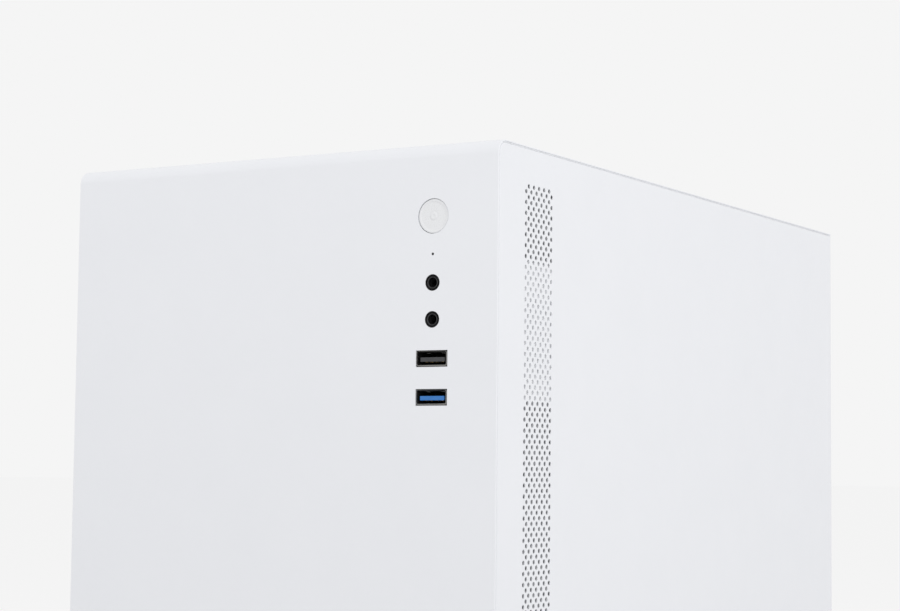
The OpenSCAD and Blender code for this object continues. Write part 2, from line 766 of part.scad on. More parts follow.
// Finned heat sinks on the voltage regulators and the chipset
module board_heatsinks() {
    color("gray") {
        along_z(cpu_z - 40, 90) union() {
            rect([mb_x - 6, 120], [mb_x, 138]);
            for (i = [0:5]) rect([mb_x - 24, 120 + i * 3.2], [mb_x - 6, 122 + i * 3.2]);
        }
        along_z(mb_z0 + 26, 36) union() {
            rect([mb_x - 4, -58], [mb_x, -20]);
            for (i = [0:6]) rect([mb_x - 10, -58 + i * 6], [mb_x - 4, -56 + i * 6]);
        }
    }
}

// Power, data and front panel headers, capacitors and the clock battery
module board_headers() {
    color("black") {
        block([mb_x - 12, mb_y0 + 3.5, 252], [mb_x, mb_y0 + 12.5, 304]);
        block([46.7, mb_y0 + 4, 254], [mb_x - 12, mb_y0 + 12, 302]);
        for (z = [164, 176]) block([mb_x - 10, mb_y0 + 1, z], [mb_x, mb_y0 + 15, z + 8]);
        block([mb_x - 10, mb_y0 + 1, 122], [mb_x, mb_y0 + 13, 134]);
        block([mb_x - 10, mb_y0 + 36, 113], [mb_x, mb_y0 + 48, 118]);
        block([mb_x - 12, 98, mb_z1 - 13], [mb_x, 118, mb_z1 - 3]);
        for (i = [0:6]) rod_x([mb_x - 11, 115.5, cpu_z - 36 + i * 12], 4, 11);
        for (i = [0:3]) rod_x([mb_x - 11, -20 + i * 11, 195], 4, 11);
        rod_x([mb_x - 4, 44, 142], 10, 4);
    }
}

// ---------------------------------------------------------------- processor cooler

// A heat pipe bent into a U: across the base, then up through the fins
module heat_pipe(y) {
    run = 22;
    turn_r = 9;
    r = 3;
    translate([mb_x - 13, y, cpu_z]) {
        translate([0, 0, -run]) cylinder(r = r, h = 2 * run);
        for (side = [0, 1]) mirror([0, 0, side]) {
            translate([-turn_r, 0, run]) rotate([90, 0, 0])
                rotate_extrude(angle = 90) translate([turn_r, 0]) circle(r = r);
            translate([-turn_r - 92, 0, run + turn_r]) rotate([0, 90, 0]) cylinder(r = r, h = 92);
        }
    }
}

module cooler_base() {
    color("peru") {
        block([mb_x - 20, cpu_y - 20, cpu_z - 20], [mb_x - 6, cpu_y + 20, cpu_z + 20]);
        for (y = [cpu_y - 12, cpu_y + 12]) heat_pipe(y);
    }
}

// Fin stack joined by its folded ends, pierced by the heat pipes
module cooler_fins() {
    fins = 28;
    pitch = 2.9;
    color("silver") difference() {
        along_y(cpu_y - 25, 50) {
            for (i = [0:fins - 1]) rect([mb_x - 34 - i * pitch, cpu_z - 47.5],
                [mb_x - 33.5 - i * pitch, cpu_z + 47.5]);
            for (side = [-47.5, 47]) rect([mb_x - 34 - (fins - 1) * pitch, cpu_z + side],
                [mb_x - 33.5, cpu_z + side + 0.5]);
        }
        for (y = [cpu_y - 12, cpu_y + 12], z = [cpu_z - 31, cpu_z + 31])
            rod_x([mb_x - 130, y, z], 3.05, 110);
    }
}

module cpu_fan_frame() {
    color("black") translate(cpu_fan_at) rotate([-90, 0, 0]) fan_frame(fan92);
}

module cpu_fan_rotor() {
    color("dimgray") translate(cpu_fan_at + [0, 1, 0]) rotate([-90, 0, 0])
        fan_rotor(43, 17, 19.5, 7, 38);
}

// ---------------------------------------------------------------- power supply

// Lower half of the power supply: floor with a fan opening, rear wall and front wall
module psu_case() {
    color("gray") {
        along_z(psu_z[0], 1) difference() {
            rect([psu_x[0], psu_y[0]], [psu_x[1], psu_y[1]]);
            translate([psu_fan_at[0], psu_fan_at[1]]) ring_slots(56, 6, 7, 1.6);
        }
        along_y(psu_y[1] - 1, 1) difference() {
            rect([psu_plate_x + plate_gap, psu_z[0] + 1], [psu_x[1], psu_z[1] - 1]);
            for (row = [0:8], col = [0:8])
                translate([-2 + col * 8 + (row % 2) * 4, psu_z[0] + 11 + row * 8])
                    circle(r = 2.8, $fn = 6);
            for (hole = psu_holes) translate(hole) circle(r = 1.7);
        }
        along_y(psu_y[1] - 1, 1) difference() {
            rect([psu_x[0], psu_z[0] + 1 + plate_gap], [psu_plate_x, psu_z[1] - 1]);
            translate(inlet_at) square([27.6, 20.4], center = true);
            translate(switch_at) square([13.4, 19.8], center = true);
            for (hole = psu_holes) translate(hole) circle(r = 1.7);
        }
        along_y(psu_y[0], 1) difference() {
            rect([psu_x[0], psu_z[0] + 1], [psu_x[1], psu_z[1] - 1]);
            for (row = [0:3]) rect([-50, psu_z[0] + 40 + row * 10], [20, psu_z[0] + 45 + row * 10]);
        }
    }
}

// Upper half of the power supply: top and two sides
module psu_cover() {
    color("gray") {
        block([psu_x[0], psu_y[0], psu_z[1] - 1], [psu_x[1], psu_y[1], psu_z[1]]);
        for (x = [psu_x[0], psu_x[1] - 1])
            block([x, psu_y[0] + 1, psu_z[0] + 1], [x + 1, psu_y[1] - 1, psu_z[1] - 1]);
    }
}

module psu_fan_frame() {
    color("black") translate(psu_fan_at) fan_frame(fan120);
}

module psu_fan_rotor() {
    color("dimgray") translate(psu_fan_at + [0, 0, 1]) fan_rotor(55.5, 19, 19.5, 9, 38);
}

// Circuit board under the cover with its transformer, heat sinks and capacitors
module psu_electronics() {
    z1 = psu_z[1] - 4;
    color("darkgreen") block([psu_x[0] + 5, psu_y[0] + 6, z1 - 1.6], [psu_x[1] - 5, psu_y[1] - 28, z1]);
    color("gray") {
        block([-10, 60, z1 - 32], [26, 90, z1 - 1.6]);
        for (x = [-44, 46]) block([x, 48, z1 - 36], [x + 4, 130, z1 - 1.6]);
        for (x = [-24, 66]) translate([x, 110, z1 - 34]) cylinder(r = 9, h = 32.4);
        for (y = [46, 58, 70]) translate([60, y, z1 - 20]) cylinder(r = 5, h = 18.4);
    }
}

// Three-pin mains inlet in the rear wall, with the switch frame beside it
module mains_inlet() {
    x = inlet_at[0];
    z = inlet_at[1];
    color("black") {
        difference() {
            union() {
                block([x - 15.3, y_rear, z - 11], [x + 15.3, y_rear + 2, z + 11]);
                block([x - 13.6, y_rear - 19, z - 10], [x + 13.6, y_rear, z + 10]);
            }
            block([x - 12, y_rear - 16, z - 7.8], [x + 12, y_rear + 3, z + 7.8]);
        }
        difference() {
            sx = switch_at[0];
            sz = switch_at[1];
            union() {
                block([sx - 7.5, y_rear, sz - 11], [sx + 7.5, y_rear + 1.5, sz + 11]);
                block([sx - 6.5, y_rear - 14, sz - 9.7], [sx + 6.5, y_rear, sz + 9.7]);
            }
            block([sx - 5.2, y_rear - 9, sz - 8.6], [sx + 5.2, y_rear + 2, sz + 8.6]);
            rod_x([sx - 6, y_rear - 3, sz], 1.25, 12);
        }
    }
    color("silver") {
        for (dx = [-7, 7]) block([x + dx - 1, y_rear - 16, z - 4], [x + dx + 1, y_rear - 3, z]);
        block([x - 1, y_rear - 16, z], [x + 1, y_rear - 3, z + 4]);
    }
}

// Rocker that tips about its own pin, resting with its upper half pressed in
module psu_switch_rocker() {
    color("dimgray") translate([switch_at[0], y_rear - 3, switch_at[1]]) {
        rotate([rocker_tilt, 0, 0]) difference() {
            translate([-4.9, -3, -8]) cube([9.8, 6, 16]);
            for (side = [-1, 1]) translate([-5, 7.6, side * 5.2]) rotate([0, 90, 0])
                cylinder(r = 5.2, h = 10);
        }
        rod_x([-5.9, 0, 0], 1.2, 11.8);
    }
}

// ---------------------------------------------------------------- graphics card

// Card with its edge contacts in the long socket and its video ports at the rear
module graphics_board() {
    color("darkslategray") {
        along_z(gpu_z - 0.8, 1.6) union() {
            rect([slot_shelf_x + 4, gpu_y[0]], [mb_x - 12, gpu_y[1]]);
            rect([mb_x - 12, 74], [mb_x - 3, 155]);
        }
    }
    color("silver") for (x = [-16, 8, 32]) difference() {
        block([x, gpu_y[1] - 14, gpu_z - 6], [x + 17, y_rear + 0.6, gpu_z - 0.8]);
        block([x + 1.2, y_rear - 9, gpu_z - 5.2], [x + 15.8, y_rear + 3, gpu_z - 1.6]);
    }
}

module graphics_heatsink() {
    color("silver") along_y(14, 130) {
        rect([-27, gpu_z - 5], [53, gpu_z - 2.5]);
        for (i = [0:26]) rect([-27 + i * 3.05, gpu_z - 21], [-26.3 + i * 3.05, gpu_z - 5]);
        rect([-6, gpu_z - 2.5], [30, gpu_z - 0.8]);
    }
}

// Plastic cover over the heat sink with the fan opening and the motor seat
module graphics_shroud() {
    z0 = gpu_z - 38;
    color("black") {
        difference() {
            block([-32, 4, z0], [57, 153, gpu_z - 4]);
            block([-30.5, 3, z0 + 1.5], [55.5, 154, gpu_z]);
            translate([gpu_fan_at[0], gpu_fan_at[1], z0 - 1]) cylinder(r = 42.5, h = 4);
        }
        difference() {
            union() {
                translate([gpu_fan_at[0], gpu_fan_at[1], z0 + 13.5]) cylinder(r = 14, h = 2.5);
                block([-30.5, gpu_fan_at[1] - 2.5, z0 + 13.5], [55.5, gpu_fan_at[1] + 2.5, z0 + 16]);
            }
            translate([gpu_fan_at[0], gpu_fan_at[1], z0 + 13]) cylinder(r = 1.55, h = 4);
        }
    }
}

module graphics_fan_rotor() {
    color("dimgray") translate([gpu_fan_at[0], gpu_fan_at[1], gpu_z - 37])
        fan_rotor(41, 14, 11.5, 9, 34);
}

// Slot plates with a bent screw tab: two blanks and the card's double plate
module slot_brackets() {
    color("silver") {
        for (z = [slot_z[0], slot_z[1]]) bracket(z - bracket_w / 2, z + bracket_w / 2);
        difference() {
            bracket(slot_z[2] - bracket_w / 2, slot_z[3] + bracket_w / 2);
            for (x = [-16, 8, 32]) block([x - 0.2, bracket_y - 1, gpu_z - 6.2],
                [x + 17.2, y_rear + 1, gpu_z - 0.6]);
            for (x = [-16:7:45]) block([x, bracket_y - 1, slot_z[2] - 5],
                [x + 4, y_rear + 1, slot_z[2] + 5]);
        }
    }
}

module bracket(z0, z1) {
    block([slot_shelf_x - frame_t - bracket_t, bracket_y, z0], [mb_x + 5, y_rear, z1]);
    difference() {
        block([slot_shelf_x - frame_t - bracket_t, y_rear - 12, z0],
            [slot_shelf_x - frame_t, bracket_y, z1]);
        for (z = slot_z) rod_x([slot_shelf_x - 6, y_rear - 7, z], 1.8, 8);
    }
}

// ---------------------------------------------------------------- case fans and drives

// Frames of the front intake fan and the rear outlet fan
module case_fan_frames() {
    color("black") {
        translate(rear_fan_at) rotate([-90, 0, 0]) fan_frame(fan92);
        translate(front_fan_at) rotate([-90, 0, 0]) fan_frame(fan120);
    }
}

module front_fan_rotor() {
    color("whitesmoke") translate(front_fan_at + [0, 1, 0]) rotate([-90, 0, 0])
        fan_rotor(55.5, 19, 19.5, 7, 36);
}

module rear_fan_rotor() {
    color("whitesmoke") translate(rear_fan_at + [0, 1, 0]) rotate([-90, 0, 0])
        fan_rotor(43, 17, 19.5, 7, 38);
}

// Two side plates on feet that hold the hard drive above the floor
module drive_cage() {
    color("gainsboro") for (y = [hdd_y[0] - 1.2, hdd_y[1]]) {
        block([-66, y, z_floor], [66, y + 1.2, hdd_z[1] + 1]);
        block([-66, y > 0 ? y + 1.2 : y - 7, z_floor], [66, y > 0 ? y + 8.2 : y, z_floor + 1.2]);
    }
}

// 3.5 inch drive: cast body, lid and board side
module hard_drive() {
    color("gray") difference() {
        block([hdd_x[0], hdd_y[0], hdd_z[0]], [hdd_x[1], hdd_y[1], hdd_z[1]]);
        for (corner = [[-73.5, -92], [-73.5, 5.6], [68.5, -92], [68.5, 5.6]])
            translate([corner[0] - eps, corner[1] - eps, hdd_z[1] - 6]) cube([5.02, 4.02, 7]);
        block([hdd_x[0] + 6, hdd_y[0] + 5, hdd_z[0] - 1], [hdd_x[1] - 6, hdd_y[1] - 5, hdd_z[0] + 1.5]);
    }
}

// 2.5 inch drive on the back of the tray
module solid_state_drive() {
    color("dimgray") block([tray_x + 1, ssd_y[0], ssd_z[0]], [tray_x + 8, ssd_y[1], ssd_z[1]]);
}

// Cables held inside the case: main power, processor power, front USB, front audio and drive data
module internal_cables() {
    color("black") {
        cable(power_route, 5.5, 8, 2);
        cable(cpu_power_route, 2.8, 8, 1);
        cable(usb_route, 2.6, 8, 2);
        cable(audio_route, 1.6, 8, 1);
        cable(data_route, 2.2, 8, 1);
    }
}

// ---------------------------------------------------------------- assembly

front_top_shell();
base_plate();
rear_panel();
front_frame();
top_rails();
motherboard_tray();
panel_sockets();
feet();
filter_rails();
dust_filter();
case_screws();
right_side_panel();
right_panel_studs();
left_side_panel();
left_panel_studs();
port_bracket();
port_board();
audio_jacks();
jack_rings();
usb2_shell();
usb2_tongue();
usb3_shell();
usb3_tongue();
light_pipe();
power_button();
button_housing();
power_switch();
motherboard();
board_standoffs();
cpu_socket();
memory_sockets();
memory_modules();
expansion_sockets();
rear_ports();
io_shield();
board_heatsinks();
board_headers();
cooler_base();
cooler_fins();
cpu_fan_frame();
cpu_fan_rotor();
psu_case();
psu_cover();
psu_fan_frame();
psu_fan_rotor();
psu_electronics();
mains_inlet();
psu_switch_rocker();
graphics_board();
graphics_heatsink();
graphics_shroud();
graphics_fan_rotor();
slot_brackets();
case_fan_frames();
front_fan_rotor();
rear_fan_rotor();
drive_cage();
hard_drive();
solid_state_drive();
internal_cables();
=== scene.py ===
"""Looks for the desktop computer tower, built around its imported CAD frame."""

import json
import math
import random

import bmesh
import bpy
from mathutils import Matrix, Vector
from mathutils.bvhtree import BVHTree


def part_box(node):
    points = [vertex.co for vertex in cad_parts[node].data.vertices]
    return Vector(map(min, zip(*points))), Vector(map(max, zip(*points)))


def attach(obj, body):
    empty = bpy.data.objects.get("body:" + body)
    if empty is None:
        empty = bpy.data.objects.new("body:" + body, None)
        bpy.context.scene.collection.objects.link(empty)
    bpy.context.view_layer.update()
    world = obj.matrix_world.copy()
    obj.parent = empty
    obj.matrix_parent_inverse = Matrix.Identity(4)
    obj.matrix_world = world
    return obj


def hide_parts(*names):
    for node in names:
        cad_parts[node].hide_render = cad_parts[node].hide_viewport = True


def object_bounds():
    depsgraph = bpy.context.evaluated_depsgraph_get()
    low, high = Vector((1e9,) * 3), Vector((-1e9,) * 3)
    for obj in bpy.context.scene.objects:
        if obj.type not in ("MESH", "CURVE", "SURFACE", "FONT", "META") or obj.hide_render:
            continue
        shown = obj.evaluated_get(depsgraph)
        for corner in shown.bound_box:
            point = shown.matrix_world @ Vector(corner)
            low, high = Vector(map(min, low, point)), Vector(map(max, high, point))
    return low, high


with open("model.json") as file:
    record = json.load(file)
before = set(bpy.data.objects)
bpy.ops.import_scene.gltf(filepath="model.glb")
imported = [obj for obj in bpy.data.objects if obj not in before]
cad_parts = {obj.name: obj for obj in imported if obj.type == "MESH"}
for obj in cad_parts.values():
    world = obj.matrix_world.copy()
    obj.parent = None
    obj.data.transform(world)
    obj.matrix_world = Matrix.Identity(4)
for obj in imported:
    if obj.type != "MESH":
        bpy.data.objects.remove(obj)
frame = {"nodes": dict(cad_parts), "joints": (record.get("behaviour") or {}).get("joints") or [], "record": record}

MM = 0.001
WELD = 0.002 * MM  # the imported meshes' split vertices closer than this are one
X, Y, Z = Vector((1, 0, 0)), Vector((0, 1, 0)), Vector((0, 0, 1))
nodes = frame["nodes"]
cad_lo, cad_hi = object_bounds()
scene = bpy.context.scene
bodies = frame["record"]["behaviour"]["bodies"]
body_of_node = {node: body for body, held in bodies.items() for node in held}


# ------------------------------------------------------------------ camera, light and floor

CAMERA_TURN = (30.525, 4.481, 0.624)  # yaw, pitch and roll, in degrees
CAMERA_FROM_CORNER = Vector((0.3720, -0.6652, -0.1222))  # from the top right front corner, in metres
CAMERA_LENS = 83.35
BACKGROUND = 0.913
KEY_AT, KEY_SIZE, KEY_POWER = Vector((1.75, -0.95, 0.75)), 1.1, 8.6
FILL_AT, FILL_SIZE, FILL_POWER = Vector((-1.2, -2.1, 0.9)), 1.6, 2.7
FLOOR_RADIUS = 40000


def make_camera():
    """A long lens that looks at the upper right front corner from a little below the top."""
    yaw, pitch, roll = (math.radians(a) for a in CAMERA_TURN)
    corner = Vector((cad_hi.x, cad_lo.y, cad_hi.z))
    ahead = Vector((-math.sin(yaw) * math.cos(pitch), math.cos(yaw) * math.cos(pitch), math.sin(pitch)))
    level = Vector((math.cos(yaw), math.sin(yaw), 0))
    upward = level.cross(ahead)
    right = level * math.cos(roll) + upward * math.sin(roll)
    up = upward * math.cos(roll) - level * math.sin(roll)
    camera = bpy.data.objects.new("camera", bpy.data.cameras.new("camera"))
    scene.collection.objects.link(camera)
    camera.matrix_world = Matrix((right, up, -ahead)).transposed().to_4x4()
    camera.location = corner + CAMERA_FROM_CORNER
    camera.data.lens = CAMERA_LENS
    camera.data.sensor_width = 36
    scene.camera = camera


def soft_light(name, place, aim, size, power):
    """A square softbox at place, turned towards aim."""
    lamp = bpy.data.lights.new(name, "AREA")
    lamp.size = size
    lamp.energy = power
    light = bpy.data.objects.new(name, lamp)
    scene.collection.objects.link(light)
    light.location = place
    light.rotation_mode = "QUATERNION"
    light.rotation_quaternion = (Vector(aim) - Vector(place)).to_track_quat("-Z", "Y")


def make_studio():
    """Pale surroundings, two softboxes and a wide pale floor."""
    scene.view_settings.view_transform = "Standard"
    scene.world = bpy.data.worlds.new("studio")
    scene.world.use_nodes = True
    sky = scene.world.node_tree.nodes["Background"]
    sky.inputs["Color"].default_value = (BACKGROUND, BACKGROUND, BACKGROUND, 1)
    sky.inputs["Strength"].default_value = 1.0
    middle = (cad_lo + cad_hi) / 2
    soft_light("key", middle + KEY_AT, middle + 0.1 * Z, KEY_SIZE, KEY_POWER)
    soft_light("fill", middle + FILL_AT, middle, FILL_SIZE, FILL_POWER)
    bm = bmesh.new()
    bmesh.ops.create_circle(bm, cap_ends=True, segments=96, radius=FLOOR_RADIUS)
    floor = shape("floor", bm, look("floor_paper", pale_paper))
    floor.location.z = cad_lo.z


# ------------------------------------------------------------------ materials

class Shader:
    """One node material: add() makes a node, with its inputs given as values or as sockets."""

    def __init__(self, name):
        self.material = bpy.data.materials.new(name)
        self.material.use_nodes = True
        self.tree = self.material.node_tree
        self.bsdf = self.tree.nodes["Principled BSDF"]
        self.place = self.add("ShaderNodeTexCoord").outputs["Object"]

    def feed(self, target, inputs):
        """Sets a node's inputs, each to a value or from another node's socket."""
        for name, value in inputs.items():
            socket = target.inputs[name]
            if isinstance(value, bpy.types.NodeSocket):
                self.tree.links.new(value, socket)
            else:
                socket.default_value = value

    def add(self, kind, inputs=None, **properties):
        made = self.tree.nodes.new(kind)
        for name, value in properties.items():
            setattr(made, name, value)
        self.feed(made, inputs or {})
        return made

    def surface(self, **inputs):
        """Sets the principled shader, with underscores for spaces."""
        self.feed(self.bsdf, {name.replace("_", " "): value for name, value in inputs.items()})

    def noise(self, per_metre, detail=2.0, stretch=(1, 1, 1), rough=0.5):
        """A cloudy 0 to 1 pattern."""
        where = self.add("ShaderNodeMapping", {"Vector": self.place, "Scale": stretch}).outputs["Vector"]
        return self.add("ShaderNodeTexNoise", {"Vector": where, "Scale": per_metre, "Detail": detail,
                                               "Roughness": rough}).outputs["Fac"]

    def cells(self, per_metre, distance="EUCLIDEAN"):
        """A pattern of cells, as a node with their distances and colours."""
        return self.add("ShaderNodeTexVoronoi", {"Vector": self.place, "Scale": per_metre},
                        feature="F1", distance=distance)

    def spread(self, value, low, high, start=0.3, end=0.7):
        """Maps a 0 to 1 pattern to the numbers low to high."""
        return self.add("ShaderNodeMapRange", {"Value": value, "From Min": start, "From Max": end,
                                               "To Min": low, "To Max": high}).outputs["Result"]

    def blend(self, share, first, second):
        """Mixes two colours by a 0 to 1 pattern."""
        made = self.add("ShaderNodeMix", data_type="RGBA")
        self.feed(made, {0: share})
        for index, colour in ((6, first), (7, second)):
            if isinstance(colour, bpy.types.NodeSocket):
                self.tree.links.new(colour, made.inputs[index])
            else:
                made.inputs[index].default_value = (*colour, 1)
        return made.outputs[2]

    def bump(self, *layers):
        """Stacks height patterns, each as (pattern, height in metres)."""
        normal = None
        for height, depth in layers:
            inputs = {"Height": height, "Distance": depth, "Strength": 1.0}
            if normal is not None:
                inputs["Normal"] = normal
            normal = self.add("ShaderNodeBump", inputs).outputs["Normal"]
        self.surface(Normal=normal)


looks = {}


def look(name, maker, *settings):
    """The material of that name, made once by its maker."""
    if name not in looks:
        shader = Shader(name)
        maker(shader, *settings)
        looks[name] = shader.material
    return looks[name]


def pale_paper(s):
    """Matt paper, painted greyer where the object stands: painted shade against the brighter light there."""
    # Painted shade: the paper darkens towards the object, so the floor lit near it stays as pale as the backdrop.
    away = s.add("ShaderNodeVectorMath", {0: s.place}, operation="LENGTH").outputs["Value"]
    far = s.spread(away, 0, 1, 0.4, 2.6)
    s.surface(Base_Color=s.blend(far, (0.66, 0.66, 0.665), (0.985, 0.985, 0.985)), Roughness=1.0,
              Specular_IOR_Level=0.0)
    s.bump((s.noise(2500), 0.02 * MM))


def enamel(s, light, dark, roughness):
    """Powder coat: an orange peel surface with a fine grain on it."""
    s.surface(Base_Color=s.blend(s.spread(s.noise(40, 4), 0, 1), light, dark),
              Roughness=s.spread(s.noise(190, 3), roughness - 0.05, roughness + 0.05),
              Coat_Weight=0.12, Coat_Roughness=0.22)
    s.bump((s.noise(620, 1.5), 0.010 * MM), (s.noise(3800, 2), 0.0025 * MM))


def plastic(s, colour, roughness, grain=2200, height=0.012, shine=0.5):
    """Moulded plastic with a spark-eroded grain and slightly uneven gloss."""
    paler = tuple(min(1, c * 1.25 + 0.006) for c in colour)
    s.surface(Base_Color=s.blend(s.spread(s.noise(160, 5), 0, 1), colour, paler),
              Roughness=s.spread(s.noise(900, 3), roughness - 0.08, roughness + 0.08),
              Specular_IOR_Level=shine)
    s.bump((s.noise(grain, 3, rough=0.7), height * MM))


def rubber(s):
    """Matt black rubber with a coarse grain."""
    s.surface(Base_Color=s.blend(s.noise(300, 4), (0.016, 0.016, 0.017), (0.036, 0.036, 0.038)),
              Roughness=s.spread(s.noise(1200, 3), 0.72, 0.9))
    s.bump((s.noise(1800, 4), 0.03 * MM))


def metal(s, colour, roughness, stretch=(1, 1, 1), scratch=0.004):
    """Bare or plated metal with drawn scratches along the stretched direction."""
    darker = tuple(c * 0.78 for c in colour)
    lines = s.noise(2600, 3, stretch, 0.7)
    s.surface(Base_Color=s.blend(s.spread(s.noise(220, 5), 0, 1), colour, darker), Metallic=1.0,
              Roughness=s.spread(lines, roughness - 0.08, roughness + 0.1))
    s.bump((lines, scratch * MM), (s.noise(90, 2), 0.02 * MM))


def zinc_steel(s):
    """Galvanised sheet: faint crystal spangles under a rolled grain."""
    spangle = s.cells(170).outputs["Color"]
    tone = s.add("ShaderNodeRGBToBW", {"Color": spangle}).outputs["Val"]
    rolled = s.noise(1500, 3, (1, 1, 0.12), 0.7)
    share = s.spread(tone, 0, 1, 0.1, 0.9)
    s.surface(Base_Color=s.blend(share, (0.66, 0.69, 0.735), (0.56, 0.59, 0.635)), Metallic=1.0,
              Roughness=s.spread(tone, 0.36, 0.5, 0.1, 0.9))
    s.bump((rolled, 0.006 * MM), (s.noise(60, 2), 0.03 * MM))


def board(s, mask, trace):
    """Solder mask over copper tracks, with tinned pads and vias."""
    tracks = s.cells(330, "CHEBYCHEV").outputs["Distance"]
    lines = s.add("ShaderNodeMath", {0: tracks, 1: 26.0}, operation="MULTIPLY").outputs[0]
    wave = s.add("ShaderNodeMath", {0: lines}, operation="SINE").outputs[0]
    shown = s.spread(wave, 0, 1, 0.35, 0.6)
    vias = s.spread(s.cells(420).outputs["Distance"], 1, 0, 0.09, 0.11)
    tinted = s.blend(shown, mask, trace)
    s.surface(Base_Color=s.blend(vias, tinted, (0.42, 0.40, 0.34)),
              Roughness=s.spread(vias, 0.36, 0.3, 0, 1), Coat_Weight=0.25, Coat_Roughness=0.25)
    s.bump((shown, 0.02 * MM), (s.noise(2500, 2), 0.004 * MM))


def light_guide(s):
    """Dark glossy acrylic, as the lamp's pinhole looks when it is off."""
    s.surface(Base_Color=s.blend(s.noise(700, 2), (0.004, 0.0045, 0.005), (0.007, 0.0075, 0.008)),
              Roughness=0.4, Coat_Weight=0.3)
    s.bump((s.noise(900, 2), 0.01 * MM))


def turned_white(s):
    """White button plastic turned in fine rings about its own axis."""
    ring_pitch = 0.16 * MM
    centre = sum(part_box("power_button"), Vector()) / 2
    offset = s.add("ShaderNodeVectorMath", {0: s.place, 1: centre}, operation="SUBTRACT").outputs[0]
    flat = s.add("ShaderNodeVectorMath", {0: offset, 1: (1, 0, 1)}, operation="MULTIPLY").outputs[0]
    radius = s.add("ShaderNodeVectorMath", {0: flat}, operation="LENGTH").outputs["Value"]
    turns = s.add("ShaderNodeMath", {0: radius, 1: 2 * math.pi / ring_pitch}, operation="MULTIPLY").outputs[0]
    rings = s.add("ShaderNodeMath", {0: turns}, operation="SINE").outputs[0]
    s.surface(Base_Color=s.blend(s.noise(300, 3), (0.79, 0.797, 0.812), (0.805, 0.812, 0.827)),
              Roughness=s.spread(s.noise(1500, 3), 0.24, 0.34), Anisotropic=0.8)
    s.bump((rings, 0.004 * MM))


def braid(s, colour):
    """Woven sleeve over a wire bundle."""
    weave = s.cells(1500, "MANHATTAN").outputs["Distance"]
    paler = tuple(c * 2.2 + 0.01 for c in colour)
    s.surface(Base_Color=s.blend(s.spread(weave, 0, 1, 0.1, 0.7), paler, colour), Roughness=0.62,
              Sheen_Weight=0.2)
    s.bump((weave, -0.12 * MM))


# Each finish is its maker and the maker's settings. Most are CAD slots.
FINISHES = {
    "white_enamel": (enamel, (0.822, 0.832, 0.862), (0.812, 0.823, 0.853), 0.36),
    "white_plastic": (plastic, (0.80, 0.81, 0.83), 0.45, 1500, 0.006),
    "button_white": (turned_white,),
    "chassis_steel": (zinc_steel,),
    "black_plastic": (plastic, (0.018, 0.018, 0.02), 0.42),
    "dark_plastic": (plastic, (0.035, 0.036, 0.04), 0.5),
    "blue_plastic": (plastic, (0.015, 0.15, 0.46), 0.35, 2600, 0.006),
    "light_guide": (light_guide,),
    "deep_black": (plastic, (0.006, 0.006, 0.0065), 0.6, 2200, 0.01, 0.1),
    # A paler copy of the black plastic: a painted highlight on the jacks' rolled lips.
    "painted_lip_highlight": (plastic, (0.05, 0.051, 0.054), 0.4, 2200, 0.01, 0.3),
    # A darkened copy of the nickel: painted shade in the front USB mouths and on their springs.
    "nickel_painted_shade": (metal, (0.27, 0.267, 0.258), 0.42),
    "rubber_black": (rubber,),
    "plated_steel": (metal, (0.66, 0.67, 0.69), 0.3),
    "nickel_shell": (metal, (0.74, 0.73, 0.71), 0.24),
    "circuit_board": (board, (0.012, 0.015, 0.018), (0.03, 0.036, 0.04)),
    "green_board": (board, (0.012, 0.07, 0.03), (0.03, 0.14, 0.06)),
    "brass_part": (metal, (0.72, 0.53, 0.24), 0.3),
    "copper_pipe": (metal, (0.80, 0.42, 0.28), 0.26, (1, 1, 0.1)),
    "aluminium_fin": (metal, (0.78, 0.79, 0.80), 0.32, (1, 0.08, 1)),
    "cast_alloy": (metal, (0.52, 0.53, 0.55), 0.42, (1, 1, 1), 0.02),
    "psu_coat": (enamel, (0.03, 0.031, 0.034), (0.022, 0.023, 0.025), 0.5),
    "fan_white": (plastic, (0.72, 0.74, 0.77), 0.38, 1500, 0.005),
    "cable_jacket": (braid, (0.014, 0.014, 0.016)),
}


def finish_of(slot):
    """The material of a finish."""
    return look(slot, *FINISHES[slot])


# ------------------------------------------------------------------ mesh helpers, in millimetres

def corners(node):
    """A CAD node's lowest and highest corners."""
    lo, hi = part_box(node)
    return lo / MM, hi / MM


def solids(node):
    """The corners of each separate solid in a CAD node, lowest solid first."""
    bm = bmesh.new()
    bm.from_mesh(nodes[node].data)
    bmesh.ops.remove_doubles(bm, verts=bm.verts, dist=WELD)
    seen, found = set(), []
    for start in bm.verts:
        if start in seen:
            continue
        seen.add(start)
        island = [start]
        for v in island:
            for e in v.link_edges:
                other = e.other_vert(v)
                if other not in seen:
                    seen.add(other)
                    island.append(other)
        points = [v.co / MM for v in island]
        found.append((Vector(map(min, zip(*points))), Vector(map(max, zip(*points)))))
    bm.free()
    return sorted(found, key=lambda c: (round(c[0].z, 1), round(c[0].y, 1), round(c[0].x, 1)))


def shape(name, bm, material, smooth=35):
    """Makes an object of a bmesh in millimetres, with edges sharper than an angle kept crisp."""
    bmesh.ops.recalc_face_normals(bm, faces=bm.faces)
    bmesh.ops.scale(bm, vec=(MM, MM, MM), verts=bm.verts)
    mesh = bpy.data.meshes.new(name)
    bm.to_mesh(mesh)
    bm.free()
    mesh.shade_smooth()
    mesh.set_sharp_from_angle(angle=math.radians(smooth))
    mesh.materials.append(material)
    made = bpy.data.objects.new(name, mesh)
    scene.collection.objects.link(made)
    flatten(made)
    return made


def flatten(made):
    """Lets the broad faces set the shading, so narrow rounded edges don't tint them."""
    weighted = made.modifiers.new("weighted", "WEIGHTED_NORMAL")
    weighted.keep_sharp = True
    weighted.weight = 100
    weighted.thresh = 0.01


def fit(name, bm, body, slot, replaced=(), smooth=35, finish=None):
    """A finished piece that rides on a body, in its slot's finish unless another is named."""
    made = shape(name, bm, finish_of(finish or slot), smooth)
    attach(made, body)
    if replaced:
        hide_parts(*replaced)
    return made


